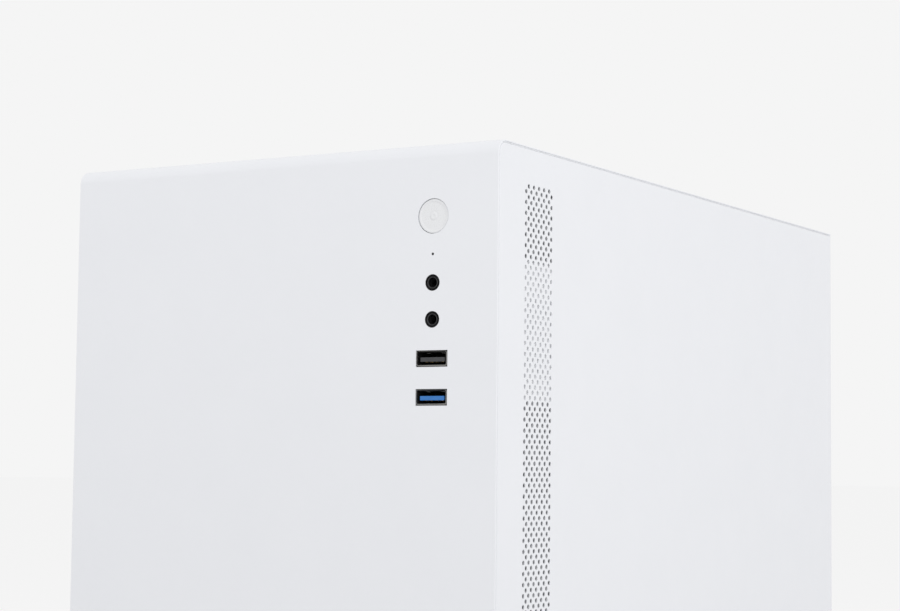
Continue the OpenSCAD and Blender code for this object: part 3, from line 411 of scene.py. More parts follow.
def block(bm, lo, hi, edge=0.0):
    """Adds a box between two corners, with its edges rounded by a width."""
    lo, hi = Vector(lo), Vector(hi)
    made = bmesh.ops.create_cube(bm, size=1)["verts"]
    bmesh.ops.scale(bm, vec=hi - lo, verts=made)
    bmesh.ops.translate(bm, vec=(lo + hi) / 2, verts=made)
    if edge:
        edges = list(dict.fromkeys(e for v in made for e in v.link_edges))
        bmesh.ops.bevel(bm, geom=edges, offset=edge, segments=2, profile=0.5, affect="EDGES")


def raised(bm, x, side, height, low, high, edge):
    """Adds a pad that stands up by a height from a wall at x, between two (y, z) corners."""
    block(bm, (min(x, x + side * height), *low), (max(x, x + side * height), *high), edge)


def axes_to(along, at):
    """A matrix that takes +Z to a direction and the origin to a point."""
    turn = Vector(along).to_track_quat("Z", "Y").to_matrix().to_4x4()
    turn.translation = Vector(at)
    return turn


def skin(bm, rings, closed=True):
    """Joins rings of vertices, each a list of equal length or one point, with faces."""
    for one, two in zip(rings, rings[1:]):
        count = max(len(one), len(two))
        for k in range(count if closed else count - 1):
            four = [one[k % len(one)], one[(k + 1) % len(one)], two[(k + 1) % len(two)], two[k % len(two)]]
            face = list(dict.fromkeys(four))
            if len(face) > 2:
                bm.faces.new(face)


def circle(radius, sides):
    """Points round a circle."""
    turns = (2 * math.pi * k / sides for k in range(sides))
    return [(radius * math.cos(a), radius * math.sin(a)) for a in turns]


def lathe(bm, profile, at, along, sides=48):
    """Turns (radius, distance) points about an axis through a point."""
    turn = axes_to(along, at)
    rings = []
    for radius, distance in profile:
        ring = circle(radius, sides) if radius else [(0, 0)]
        rings.append([bm.verts.new(turn @ Vector((x, y, distance))) for x, y in ring])
    skin(bm, rings)


def directions(points):
    """The direction of a line at each of its points."""
    last = len(points) - 1
    return [(points[min(i + 1, last)] - points[max(i - 1, 0)]).normalized() for i in range(last + 1)]


def smooth_route(route, steps=9):
    """Points and directions along a smooth curve through a route."""
    route = [Vector(p) for p in route]
    points = []
    for i in range(len(route) - 1):
        a, b, c, d = (route[max(0, min(len(route) - 1, i + k))] for k in (-1, 0, 1, 2))
        for k in range(steps):
            t = k / steps
            points.append(0.5 * (2 * b + (c - a) * t + (2 * a - 5 * b + 4 * c - d) * t * t
                                 + (3 * b - a - 3 * c + d) * t * t * t))
    points.append(route[-1])
    return points, directions(points)


def sweep(bm, points, ways, section, twist=0.0):
    """Sweeps a section of (across, up) points along a line, turning it by twist radians a point."""
    side = ways[0].orthogonal().normalized()
    rings = []
    for i, (point, way) in enumerate(zip(points, ways)):
        side = (side - way * side.dot(way)).normalized()
        up = way.cross(side)
        c, s = math.cos(twist * i), math.sin(twist * i)
        turned = [(x * c - y * s, x * s + y * c) for x, y in section]
        rings.append([bm.verts.new(point + side * x + up * y) for x, y in turned])
    skin(bm, rings)
    bm.faces.new(rings[0])
    bm.faces.new(rings[-1])


def soften(node, width):
    """Rounds a CAD node's sharp edges with modifiers, which leave its own mesh as packed."""
    made = nodes[node]
    weld = made.modifiers.new("weld", "WELD")
    weld.merge_threshold = WELD
    flat = made.modifiers.new("flat", "DECIMATE")
    flat.decimate_type = "DISSOLVE"
    flat.angle_limit = math.radians(0.6)
    edge = made.modifiers.new("edge", "BEVEL")
    edge.width = width * MM
    edge.segments = 2
    edge.limit_method = "ANGLE"
    edge.angle_limit = math.radians(38)
    flatten(made)


# ------------------------------------------------------------------ front of the case

SHEET = 1.2  # the CAD's front and top sheet
SHEET_BEND = 5.5  # outer radius of its bend
EDGE_SHEET = 0.7  # its thickness here
PANEL_SHEET = 0.55  # the vented side sheets here
PANEL_CORNER = 4.2  # radius of a side panel's top front corner
RIM_GROWTH = 0.6  # how far a side panel's rim grows towards the sheet
RIM_BAND = 8  # how deep the panel's front and top rims are
FOLD = math.radians(60)  # an edge sharper than this gets rounded


def node_copy(node):
    """A bmesh of a CAD node in millimetres, with its faces joined up."""
    bm = bmesh.new()
    bm.from_mesh(nodes[node].data)
    bmesh.ops.remove_doubles(bm, verts=bm.verts, dist=WELD)
    bmesh.ops.scale(bm, vec=(1 / MM,) * 3, verts=bm.verts)
    return bm


def round_edges(bm, edges, width):
    """Rounds edges by a width, in three steps."""
    bmesh.ops.bevel(bm, geom=edges, offset=width, segments=3, profile=0.5, affect="EDGES",
                    clamp_overlap=False)


def front_top_sheet():
    """The front and top sheet, as thin at its edges as the photographed one, with rounded edges."""
    bm = node_copy("front_top_shell")
    lo, hi = corners("front_top_shell")
    axis_y, axis_z = lo.y + SHEET_BEND, hi.z - SHEET_BEND
    shift = SHEET - EDGE_SHEET
    for v in bm.verts:
        if v.co.z <= axis_z and abs(v.co.y - lo.y - SHEET) < 0.02:
            v.co.y -= shift
        elif v.co.y >= axis_y and abs(v.co.z - hi.z + SHEET) < 0.02:
            v.co.z += shift
        elif v.co.z > axis_z and v.co.y < axis_y:
            out = Vector((0, v.co.y - axis_y, v.co.z - axis_z))
            if abs(out.length - SHEET_BEND + SHEET) < 0.05:
                v.co += out.normalized() * shift
    bmesh.ops.dissolve_limit(bm, angle_limit=math.radians(0.5), verts=bm.verts, edges=bm.edges)
    sides = [e for e in bm.edges
             if all(abs(abs(v.co.x) - hi.x) < 0.01 for v in e.verts) and e.calc_face_angle(0) > FOLD]
    round_edges(bm, sides, 0.3)
    fit("front_top_sheet", bm, "case", "white_enamel", ["front_top_shell"], smooth=30)


def rounded_panel(node, side):
    """A side panel with its rim close to the sheet's edge and rounded as powder coat leaves it."""
    bm = node_copy(node)
    outer = side * cad_hi.x / MM
    lo, hi = corners(node)
    for v in bm.verts:
        if v.co.y < lo.y + RIM_BAND:
            v.co.y -= RIM_GROWTH
        if v.co.z > hi.z - RIM_BAND:
            v.co.z += RIM_GROWTH
        if abs(v.co.x - outer + side) < 0.02:
            v.co.x = outer - side * PANEL_SHEET

    def on_rim(v):
        front_or_back = v.co.y < lo.y + RIM_BAND or v.co.y > hi.y - 1
        return front_or_back or v.co.z > hi.z - RIM_BAND or v.co.z < lo.z + 1

    outline = [e for e in bm.edges if all(abs(v.co.x - outer) < 0.01 for v in e.verts)]
    rim = [e for e in outline if any(on_rim(v) for v in e.verts) and e.calc_face_angle(0) > FOLD]
    round_edges(bm, rim, 0.4)
    fit(node + "_rounded", bm, body_of_node[node], "white_enamel", [node], smooth=30)


def seam_lining(side):
    """The white edge return that closes the gap between the sheet and a side panel."""
    lo, hi = corners("right_side_panel")
    lo.y -= RIM_GROWTH
    hi.z += RIM_GROWTH
    outer = cad_hi.x / MM
    gap = (lo.y - (cad_lo.y / MM + EDGE_SHEET)) / 2
    middle = Vector((0, lo.y + PANEL_CORNER, hi.z - PANEL_CORNER))
    reach = PANEL_CORNER + gap
    bend = [math.radians(180 - 9 * k) for k in range(11)]
    path = [Vector((0, lo.y - gap, lo.z + 1))]
    path += [middle + Vector((0, reach * math.cos(a), reach * math.sin(a))) for a in bend]
    path += [Vector((0, hi.y - 1, hi.z + gap))]
    section = ((-1, 0.26), (-0.5, 0.2), (0.5, 0.2), (1, 0.26), (1, 1.6), (-1, 1.6))
    bm = bmesh.new()
    rings = []
    for point, way in zip(path, directions(path)):
        across = Vector((0, -way.z, way.y)) * (gap - 0.03)
        rings.append([bm.verts.new(point + across * share + Vector((side * (outer - depth), 0, 0)))
                      for share, depth in section])
    skin(bm, rings)
    bm.faces.new(rings[0])
    bm.faces.new(rings[-1])
    fit("seam_lining_" + ("right" if side > 0 else "left"), bm, "case", "white_enamel")


def bracket_film():
    """The white insulating pad on the outer face of the port bracket, right behind the vents."""
    lo, hi = corners("port_bracket")
    outer = cad_hi.x / MM - PANEL_SHEET - 0.16
    bm = bmesh.new()
    block(bm, (hi.x, lo.y + 0.5, lo.z + 0.5), (outer, hi.y - 0.5, hi.z - 0.5))
    fit("bracket_film", bm, "case", "white_plastic")


def button_piece():
    """The power button: rounded rim, turned dish, small raised centre, flange and stem."""
    lo, hi = corners("power_button")
    flange = (hi.x - lo.x) / 2
    cap = flange - 1.04
    stem = 2.4
    sunk = 0.22
    ridge, pitch = 0.012, 0.22
    face = [(0, 0.12), (0.35, 0.12), (0.6, 0.04), (0.9, 0.0), (1.25, 0.04), (1.55, 0.2), (1.8, 0.3),
            (2.0, 0.24)]
    turned = [(1.9 + pitch * k / 2, 0.20 + ridge * (k % 2)) for k in range(int((cap - 3.15) / pitch * 2))]
    face += [(radius, depth) for radius, depth in turned if radius > 2.1]
    rim = ((1.1, 0.12), (0.9, 0.03), (0.5, 0.0), (0.22, 0.03), (0.06, 0.14), (0, 0.34))
    face += [(cap - inset, depth) for inset, depth in rim]
    profile = [(radius, depth + sunk) for radius, depth in face]
    profile += [(cap, 1.5), (flange, 1.5), (flange, 2.8)]
    profile += [(stem, 2.8), (stem, hi.y - lo.y), (0, hi.y - lo.y)]
    bm = bmesh.new()
    lathe(bm, profile, ((lo.x + hi.x) / 2, lo.y, (lo.z + hi.z) / 2), Y, 96)
    fit("button_turned", bm, "power_button", "button_white", ["power_button"], smooth=50)


def jack_liners():
    """The black sleeve in the mouth of each front jack, with its thin paler lip, whose paler colour is a painted
    highlight.
    """
    sleeve = [(3.02, 0.8), (3.02, 0.1), (2.95, 0.0), (2.35, 0.0), (2.26, 0.12), (2.2, 0.7), (2.0, 0.7),
              (1.9, 0.3), (1.81, 0.4), (1.8, 14), (0, 14)]
    rolled = [(2.19, 0.6), (2.19, 0.08), (2.12, 0.0), (2.02, 0.0), (1.96, 0.08), (1.96, 0.6)]
    black, lip = bmesh.new(), bmesh.new()
    for lo, hi in solids("jack_rings"):
        at = ((lo.x + hi.x) / 2, cad_lo.y / MM, (lo.z + hi.z) / 2)
        lathe(black, sleeve, at, Y, 64)
        lathe(lip, rolled, at, Y, 64)
    fit("jack_liners", black, "case", "dark_plastic", ["jack_rings"], smooth=40, finish="deep_black")
    # The lips' paler black is a painted highlight on the rolled edge.
    fit("jack_lips", lip, "case", "dark_plastic", smooth=40, finish="painted_lip_highlight")


def rounded_frame(half_w, half_h, radius, steps=5):
    """Points round a rectangle with rounded corners."""
    points = []
    for turn, (sx, sz) in enumerate(((1, 1), (-1, 1), (-1, -1), (1, -1))):
        x, z = sx * (half_w - radius), sz * (half_h - radius)
        for k in range(steps + 1):
            a = math.radians(90 * turn + 90 * k / steps)
            points.append((x + radius * math.cos(a), z + radius * math.sin(a)))
    return points


USB_WALL = 0.42


def usb_place(version):
    """The middle of a front USB port's mouth, then half its width and half its height."""
    lo, hi = corners("usb%d_shell" % version)
    return (lo.x + hi.x) / 2, lo.y, (lo.z + hi.z) / 2, (hi.x - lo.x) / 2, (hi.z - lo.z) / 2


def usb_mouth(version):
    """The shell with its rolled metal mouth, in a darkened nickel that is painted shade."""
    x, y, z, half_w, half_h = usb_place(version)
    lip = ((0.0, 3.0, 0.8), (0.0, 0.3, 0.8), (0.05, 0.16, 0.75), (0.14, 0.1, 0.7), (0.28, 0.12, 0.6),
           (0.38, 0.24, 0.5), (USB_WALL, 0.5, 0.5), (USB_WALL, 14.0, 0.5))
    bm = bmesh.new()
    rings = []
    for inset, depth, radius in lip:
        tuck = 0.16 * inset / USB_WALL
        rings.append([bm.verts.new((x + a - tuck, y + depth, z + b + tuck))
                      for a, b in rounded_frame(half_w - inset, half_h - inset, radius)])
    skin(bm, rings)
    # The darkened nickel here is painted shade.
    fit("usb%d_mouth" % version, bm, "case", "nickel_shell", ["usb%d_shell" % version], finish="nickel_painted_shade")


def usb_inside(version, slot, finish):
    """The black liner, tongue, contacts and spring fingers of a front USB port; the liner's thin walls along the
    shell are painted shade.
    """
    x, y, z, half_w, half_h = usb_place(version)
    inner_w, inner_h = half_w - USB_WALL - 0.12, half_h - USB_WALL - 0.12
    thin = 0.05
    bm = bmesh.new()
    # The back wall is the housing's own black face.
    block(bm, (x - inner_w, y + 12.2, z - inner_h), (x + inner_w, y + 13.4, z + inner_h))
    # Painted shade: thin black sheets along the shell's inside, where its metal lies in shadow.
    for end in (-1, 1):
        top, wall = z + end * inner_h, x + end * inner_w
        block(bm, (x - inner_w, y + 0.9, top - thin), (x + inner_w, y + 12, top + thin))
        block(bm, (wall - thin, y + 0.9, z - inner_h), (wall + thin, y + 12, z + inner_h))
    fit("usb%d_liner" % version, bm, "case", "black_plastic", finish="deep_black")
    bm = bmesh.new()
    block(bm, (x - 5.5, y + 1.0, z - 1.12), (x + 5.1, y + 12.3, z + 0.55), 0.12)
    fit("usb%d_tongue_moulded" % version, bm, "case", slot, ["usb%d_tongue" % version], finish=finish)
    bm = bmesh.new()
    for k in range(4):
        start = x - 4.0 + k * 2.33
        block(bm, (start, y + 2.2, z - 1.2), (start + 1.0, y + 11, z - 1.1), 0.03)
    fit("usb%d_contacts" % version, bm, "case", "brass_part")
    bm = bmesh.new()
    for across in (-3.3, 3.3):
        for end in (-1, 1):
            top = z + end * (inner_h - 0.12)
            block(bm, (x + across - 0.8, y + 3.2, top - 0.1), (x + across + 0.8, y + 8, top + 0.1), 0.06)
    # The springs take the same darkened nickel, painted shade.
    fit("usb%d_springs" % version, bm, "case", "nickel_shell", finish="nickel_painted_shade")


# ------------------------------------------------------------------ fans

def fan_hub(bm, hub, start, end, at, axis):
    """The hub cup and the axle in it, as one turned shape."""
    axle, wall = 1.45, 1.4
    cup = ((0, 0.7), (hub * 0.55, 0.7), (hub * 0.6, 0.35), (hub - 2.4, 0.2), (hub - 1.0, 0.6),
           (hub - 0.2, 1.6), (hub, 2.8))
    profile = [(radius, start + height) for radius, height in cup]
    profile += [(hub, end), (hub - wall, end), (hub - wall, end - 1)]
    profile += [(axle, end - 1), (axle, end + 2.4), (0, end + 2.4)]
    lathe(bm, profile, at, axis)


def grid_edge(grid):
    """The vertices round the edge of a grid, in order."""
    return grid[0] + [row[-1] for row in grid[1:-1]] + grid[-1][::-1] + [row[0] for row in grid[-2:0:-1]]


def fan_blade(bm, turn, first, span, root, tip, start, depth):
    """One swept, cambered blade, from the angle where it starts at the hub."""
    across, chord, thick = 9, 11, 0.75
    grids = []
    for face in (-1, 1):
        grid = []
        for i in range(across):
            u = i / (across - 1)
            r = root + (tip - root) * u
            middle = first + 0.5 * span * u ** 1.5
            width = span * (0.92 - 0.14 * u)
            row = []
            for k in range(chord):
                v = k / (chord - 1)
                camber = 0.22 * 4 * v * (1 - v)
                rise = start + depth * (0.1 + (0.8 - 0.12 * u) * (v * (1 + camber) - camber * 0.5))
                body = thick * (0.25 + 0.75 * math.sqrt(max(0.0, 1 - (2 * v - 1) ** 2)))
                a = middle + width * (v - 0.5)
                place = Vector((r * math.cos(a), r * math.sin(a), rise + face * body))
                row.append(bm.verts.new(turn @ place))
            grid.append(row)
        grids.append(grid)
        skin(bm, grid, closed=False)
    skin(bm, [grid_edge(grid) for grid in grids])


def fan(node, joint, hub, blades, slot):
    """A moulded rotor with a rounded hub cup and its ring of blades."""
    axis, at = Vector(joint["axis"]), Vector(joint["pos_m"]) / MM
    reach = [(v.co / MM - at) for v in nodes[node].data.vertices]
    heights = [r.dot(axis) for r in reach]
    tip = max((r - axis * h).length for r, h in zip(reach, heights)) - 0.2
    start, depth = min(heights), max(heights) - min(heights) - 2.5
    span = 2 * math.pi / blades
    bm = bmesh.new()
    fan_hub(bm, hub, start, start + depth, at, axis)
    for b in range(blades):
        fan_blade(bm, axes_to(axis, at), b * span, span, hub - 0.8, tip, start, depth)
    fit(node + "_moulded", bm, joint["child"], slot, [node], smooth=42)


# ------------------------------------------------------------------ cables

# The routes of the cables in the CAD
POWER = [(50, 30.8, 84), (50, 18, 84), (48, -40, 88), (40, -80, 118), (36, -86, 180), (34, -84, 240),
         (36, -72, 272), (41, -67.2, 278), (46.7, -67.2, 278)]
CPU_POWER = [(66, 30.8, 90), (66, 24, 90), (70, 18, 96), (80, 16, 104), (86, 20, 114), (86.2, 40, 170),
             (86.2, 80, 270), (86.4, 104, 335), (86.4, 108, 348), (81, 108, 358), (70, 108, 360),
             (60, 108, 358), (54, 108, 352), (57, 108, 348), (61.9, 108, 348)]
FRONT_USB = [(54, -149.2, 300), (54, -142, 300), (52, -125, 299), (52, -104, 292), (64, -88, 262),
             (66, -86, 200), (62, -84, 150), (56, -78, 132), (58, -68.2, 128), (63.9, -68.2, 128)]
FRONT_AUDIO = [(54, -149.2, 314), (54, -142, 314), (60, -125, 311), (62, -102, 300), (74, -84, 262),
               (76, -83, 190), (74, -81, 120), (66, -60, 113), (54, -40, 112), (58, -33.2, 115.5),
               (63.9, -33.2, 115.5)]
DRIVE_DATA = [(73.5, -30, 30), (78, -30, 30), (78, -34, 50), (68, -44, 75), (50, -54, 105), (46, -60, 140),
              (50, -67.2, 162), (57, -67.2, 168), (63.9, -67.2, 168)]


def wire_bundle(bm, route, wire, rings):
    """Sleeved wires packed round a middle one, in hexagonal rings, that turn slowly together."""
    points, ways = smooth_route(route)
    places = [(0.0, 0.0)]
    for ring in range(1, rings + 1):
        places += circle(2 * wire * ring, 6 * ring)
    for x, y in places:
        section = [(x + a, y + b) for a, b in circle(wire, 7)]
        sweep(bm, points, ways, section, twist=0.03)


def tie(bm, route, share, radius):
    """A cable tie at a share of a route: a flat band with its square head."""
    half_band, thick, half_head = 1.2, 0.5, Vector((1.7, 1.7, 1.7))
    points, ways = smooth_route(route)
    i = int(share * (len(points) - 1))
    corner = (radius, -half_band)
    outside = [(radius + thick, -half_band), (radius + thick, half_band)]
    band = [corner, *outside, (radius, half_band), corner]
    lathe(bm, band, points[i], ways[i], 24)
    middle = points[i] + ways[i].orthogonal().normalized() * (radius + 1.4)
    block(bm, middle - half_head, middle + half_head, 0.4)


def cables():
    """The five cables inside, made strand by strand where the real ones are."""
    bm = bmesh.new()
    wire_bundle(bm, POWER, 1.06, 2)
    wire_bundle(bm, CPU_POWER, 0.92, 1)
    for route, radius in ((FRONT_USB, 2.5), (FRONT_AUDIO, 1.55)):
        sweep(bm, *smooth_route(route), circle(radius, 14))
    ribbon = [(2.1 * x, 0.85 * y) for x, y in circle(1, 16)]
    sweep(bm, *smooth_route(DRIVE_DATA), ribbon)
    fit("cable_bundles", bm, "case", "cable_jacket", ["internal_cables"], smooth=60)
    bm = bmesh.new()
    for share in (0.2, 0.42, 0.66, 0.85):
        tie(bm, POWER, share, 5.4)
    for share in (0.25, 0.5, 0.72):
        tie(bm, CPU_POWER, share, 2.9)
    fit("cable_ties", bm, "case", "black_plastic")


# ------------------------------------------------------------------ motherboard

def on_board(bm, y, z, width, height, thick, edge=0.2, lift=0.0):
    """Adds a part that stands on the board's face, given by its middle."""
    face = corners("motherboard")[0].x - lift
    half_y, half_z = width / 2, height / 2
    block(bm, (face - thick, y - half_y, z - half_z), (face, y + half_y, z + half_z), edge)


def chip(black, legs, y, z, width, height, pins, thick=1.4):
    """A chip with a row of legs on two sides."""
    on_board(black, y, z, width, height, thick, 0.15, 0.15)
    pitch = height / (pins + 1)
    for side in (-1, 1):
        leg_y = y + side * (width / 2 + 0.45)
        for k in range(1, pins + 1):
            on_board(legs, leg_y, z - height / 2 + k * pitch, 1.0, pitch * 0.45, 0.5, 0, 0.02)


PIN_PITCH = 2.54
PIN = 0.64


def pin_header(black, gold, y, z, columns, rows):
    """A pin header with its columns along Y."""
    on_board(black, y, z, columns * PIN_PITCH, rows * PIN_PITCH, 2.5, 0.3)
    for c in range(columns):
        pin_y = y + (c - (columns - 1) / 2) * PIN_PITCH
        for r in range(rows):
            on_board(gold, pin_y, z + (r - (rows - 1) / 2) * PIN_PITCH, PIN, PIN, 6, 0.1, 2.4)


def free_spot_finder(names):
    """A test for whether nothing stands on a patch of the board, seen straight out from it."""
    trees = []
    for name in names:
        bm = bmesh.new()
        bm.from_mesh(nodes[name].data)
        trees.append(BVHTree.FromBMesh(bm))
        bm.free()
    face = corners("motherboard")[0].x - 0.2

    def is_free(y, z, half):
        for dy, dz in ((0, 0), (half, half), (-half, half), (half, -half), (-half, -half)):
            start = Vector((face, y + dy, z + dz)) * MM
            if any(t.ray_cast(start, -X, 45 * MM)[0] for t in trees):
                return False
        return True
    return is_free


# Chips as Y, Z, width, height and pins a side, and pin headers as Y and columns
CHIPS = ((132, 205, 7, 7, 6), (118, 218, 5, 6, 4), (128, 240, 9, 9, 8), (-58, 152, 6, 13, 12),
         (-30, 128, 5, 5, 4), (12, 150, 7, 9, 8), (-40, 222, 5, 6, 4), (84, 236, 8, 8, 7),
         (100, 226, 4, 5, 4), (60, 240, 4, 5, 4), (-52, 318, 5, 6, 4), (-10, 342, 5, 5, 4))
BOTTOM_HEADERS = ((10, 5), (40, 5), (66, 4), (92, 9), (122, 4))
TALL_PARTS = ["cpu_socket", "memory_sockets", "expansion_sockets", "board_heatsinks", "board_headers",
              "rear_ports", "case_screws", "cooler_base"]


def power_stage(chokes, black, top):
    """The chokes and their transistors beside the processor and along the board's top edge."""
    socket_lo, socket_hi = corners("cpu_socket")
    cpu_z = (socket_lo.z + socket_hi.z) / 2
    choke, pitch = 7.6, 12
    for k in range(7):
        on_board(chokes, 142, cpu_z - 36 + k * pitch, choke, choke, 6, 0.8)
        on_board(black, 113.5, cpu_z - 42 + k * pitch, 3.2, 3.6, 1.0, 0.1)
    for k in range(4):
        on_board(chokes, 62 + k * 10, top - 12, choke, choke, 6, 0.8)


def small_parts(tan, black, legs):
    """Scatters capacitors and resistors with their end caps where the board is free."""
    lo, hi = corners("motherboard")
    long, short, cap = 1.6, 0.85, 0.35
    rng = random.Random(7)
    is_free = free_spot_finder(TALL_PARTS)
    for _ in range(900):
        y, z = rng.uniform(lo.y + 4, hi.y - 4), rng.uniform(lo.z + 4, hi.z - 4)
        across = rng.random() < 0.5
        kind = rng.random()
        if is_free(y, z, long):
            w, h = (long, short) if across else (short, long)
            on_board(tan if kind < 0.55 else black, y, z, w, h, 0.55, 0.08)
            for end in (-0.8, 0.8):
                if across:
                    on_board(legs, y + end, z, cap, 0.95, 0.5, 0)
                else:
                    on_board(legs, y, z + end, 0.95, cap, 0.5, 0)


def board_parts():
    """Chips, chokes, headers, small parts and plated holes on the motherboard."""
    lo, hi = corners("motherboard")
    black, legs, gold, chokes, tan = (bmesh.new() for _ in range(5))
    power_stage(chokes, black, hi.z)
    for y, z, width, height, pins in CHIPS:
        chip(black, legs, y, z, width, height, pins)
    for y, columns in BOTTOM_HEADERS:
        pin_header(black, gold, y, lo.z + 5, columns, 2)
    for y, z in ((-66, 328), (44, hi.z - 5), (130, 200), (-66, 210)):
        pin_header(black, gold, y, z, 4, 1)
    plated = [(2.0, 0.9), (2.0, -0.06), (4.2, -0.06), (4.3, 0.1), (4.3, 0.9)]
    for low, high in solids("board_standoffs"):
        lathe(gold, plated, (lo.x, (low.y + high.y) / 2, (low.z + high.z) / 2), X, 32)
    small_parts(tan, black, legs)
    fit("board_chips", black, "case", "black_plastic")
    fit("board_legs", legs, "case", "plated_steel")
    fit("board_pins", gold, "case", "brass_part")
    fit("board_chokes", chokes, "case", "cast_alloy")
    fit("board_capacitors", tan, "case", "brass_part")


def memory_details():
    """Fin slots, rivets and clips on the memory heat spreaders."""
    bm = bmesh.new()
    for lo, hi in solids("memory_modules"):
        for side, y in ((-1, lo.y), (1, hi.y)):
            near, far = sorted((y, y + side * 0.35))
            for k in range(3):
                x = lo.x + 3 + k * 6.5
                block(bm, (x, near, lo.z + 12), (x + 4, far, hi.z - 12), 0.3)
            for z in (lo.z + 7, hi.z - 7):
                lathe(bm, [(1.9, 0), (1.9, 0.3), (1.3, 0.5), (0, 0.5)], (lo.x + 14, y, z), Y * side, 20)
        for k in range(9):
            z = lo.z + 14 + k * (hi.z - lo.z - 28) / 8
            block(bm, (lo.x - 0.8, lo.y + 0.4, z - 4), (lo.x + 0.5, hi.y - 0.4, z + 4), 0.4)
    fit("memory_spreader_ribs", bm, "case", "cast_alloy")


# ------------------------------------------------------------------ rear ports

PAIR, VIDEO = 17, 7  # how far the USB pairs and the video connector stand off the board


def rear_port_details():
    """Insulators and contacts in the rear USB pairs and the video connector."""
    face = corners("motherboard")[0].x
    mouth = corners("rear_ports")[1].y
    blue, black, gold = bmesh.new(), bmesh.new(), bmesh.new()

    def inside(bm, near, far, deep, shallow, z, half, edge=0.0):
        """Adds a strip between two distances off the board and two depths in the mouth."""
        block(bm, (face - far, mouth - deep, z - half), (face - near, mouth - shallow, z + half), edge)

    black_pair = min(lo.z for lo, hi in solids("rear_ports") if round(face - lo.x) == PAIR)
    for lo, hi in solids("rear_ports"):
        z, reach = (lo.z + hi.z) / 2, round(face - lo.x)
        if reach == PAIR:
            for start in (2, 10.2):
                inside(black if lo.z == black_pair else blue, start + 0.8, start + 2.7, 12, 0.8, z, 5.5, 0.1)
                for k in range(4):
                    inside(gold, start + 2.65, start + 2.85, 10, 1.6, z - 3.5 + k * 2.33, 0.5)
        if reach == VIDEO:
            inside(black, 2.0, 3.8, 11, 0.9, z, 6.3, 0.1)
    fit("rear_blue_insulators", blue, "case", "blue_plastic")
    fit("rear_black_insulators", black, "case", "black_plastic")
    fit("rear_contacts", gold, "case", "brass_part")


def rear_jack_bushes():
    """A coloured bush round each rear audio jack."""
    face = corners("motherboard")[0].x
    mouth = corners("rear_ports")[1].y
    lo, hi = min(solids("rear_ports"), key=lambda solid: solid[0].z)
    z = (lo.z + hi.z) / 2
    bush = [(3.6, 0), (3.6, -0.5), (3.3, -0.75), (2.3, -0.75), (1.85, -0.4), (1.82, 3)]
    rows = (("green", 6, "green_board"), ("blue", 17, "blue_plastic"), ("dark", 28, "dark_plastic"))
    for name, off_board, slot in rows:
        bm = bmesh.new()
        lathe(bm, bush, (face - off_board, mouth, z), -Y, 40)
        fit("rear_jack_bush_" + name, bm, "case", slot)


# ------------------------------------------------------------------ graphics card, supply and drives

def fan_joint(child):
    """Where the axle of the fan on a body stands, in metres."""
    return Vector(next(joint["pos_m"] for joint in frame["joints"] if joint["child"] == child))


def shroud_details(ribs, screws):
    """Angled ribs on the shroud's sides, and the ring and screws round its fan."""
    lo, hi = corners("graphics_shroud")
    for x, side in ((lo.x, -1), (hi.x, 1)):
        for k in range(10):
            y = lo.y + 14 + k * 12.5
            raised(ribs, x, side, 0.8, (y, lo.z + 7), (y + 7.5, hi.z - 5), 0.35)
        raised(ribs, x, side, 0.9, (lo.y + 2, lo.z + 2.5), (hi.y - 2, lo.z + 4.5), 0.3)
    hub_x, hub_y = (v / MM for v in fan_joint("graphics_fan").to_2d())
    ring = [(42.6, 0.4), (42.6, -0.7), (43.2, -1.1), (45.5, -1.1), (46.2, -0.6), (46.2, 0.3)]
    lathe(ribs, ring, (hub_x, hub_y, lo.z), Z, 72)
    screw_circle, margin = 50, 4
    for turn in range(8):
        a = math.radians(22.5 + 45 * turn)
        at = Vector((hub_x + screw_circle * math.cos(a), hub_y + screw_circle * math.sin(a), lo.z))
        if lo.x + margin < at.x < hi.x - margin and lo.y + margin < at.y < hi.y - margin:
            lathe(screws, [(0, -0.6), (1.2, -0.6), (1.7, -0.4), (1.9, 0), (1.9, 0.2)], at, Z, 24)


def graphics_details():
    """The shroud's ribs, and a stiffening plate with its screws on the card's back."""
    ribs, plate, screws = bmesh.new(), bmesh.new(), bmesh.new()
    shroud_details(ribs, screws)
    shroud_y = corners("graphics_shroud")[0].y
    lo, hi = corners("graphics_board")
    block(plate, (lo.x + 2, lo.y + 6, hi.z + 1.4), (hi.x - 14, shroud_y + 140, hi.z + 2.3), 0.3)
    for k in range(7):
        y = lo.y + 22 + k * 17
        block(plate, (lo.x + 10, y, hi.z + 2.2), (hi.x - 26, y + 4, hi.z + 2.7), 0.2)
    head = [(0, 1.6), (1.6, 1.6), (2.2, 1.2), (2.4, 0.6), (2.4, -1.4)]
    for x in (lo.x + 7, hi.x - 22):
        for y in (lo.y + 12, shroud_y + 68, shroud_y + 134):
            lathe(screws, head, (x, y, hi.z + 1.4), Z, 24)
    fit("shroud_ribs", ribs, "case", "dark_plastic")
    fit("card_stiffener", plate, "case", "cast_alloy")
    fit("card_screws", screws, "case", "plated_steel")


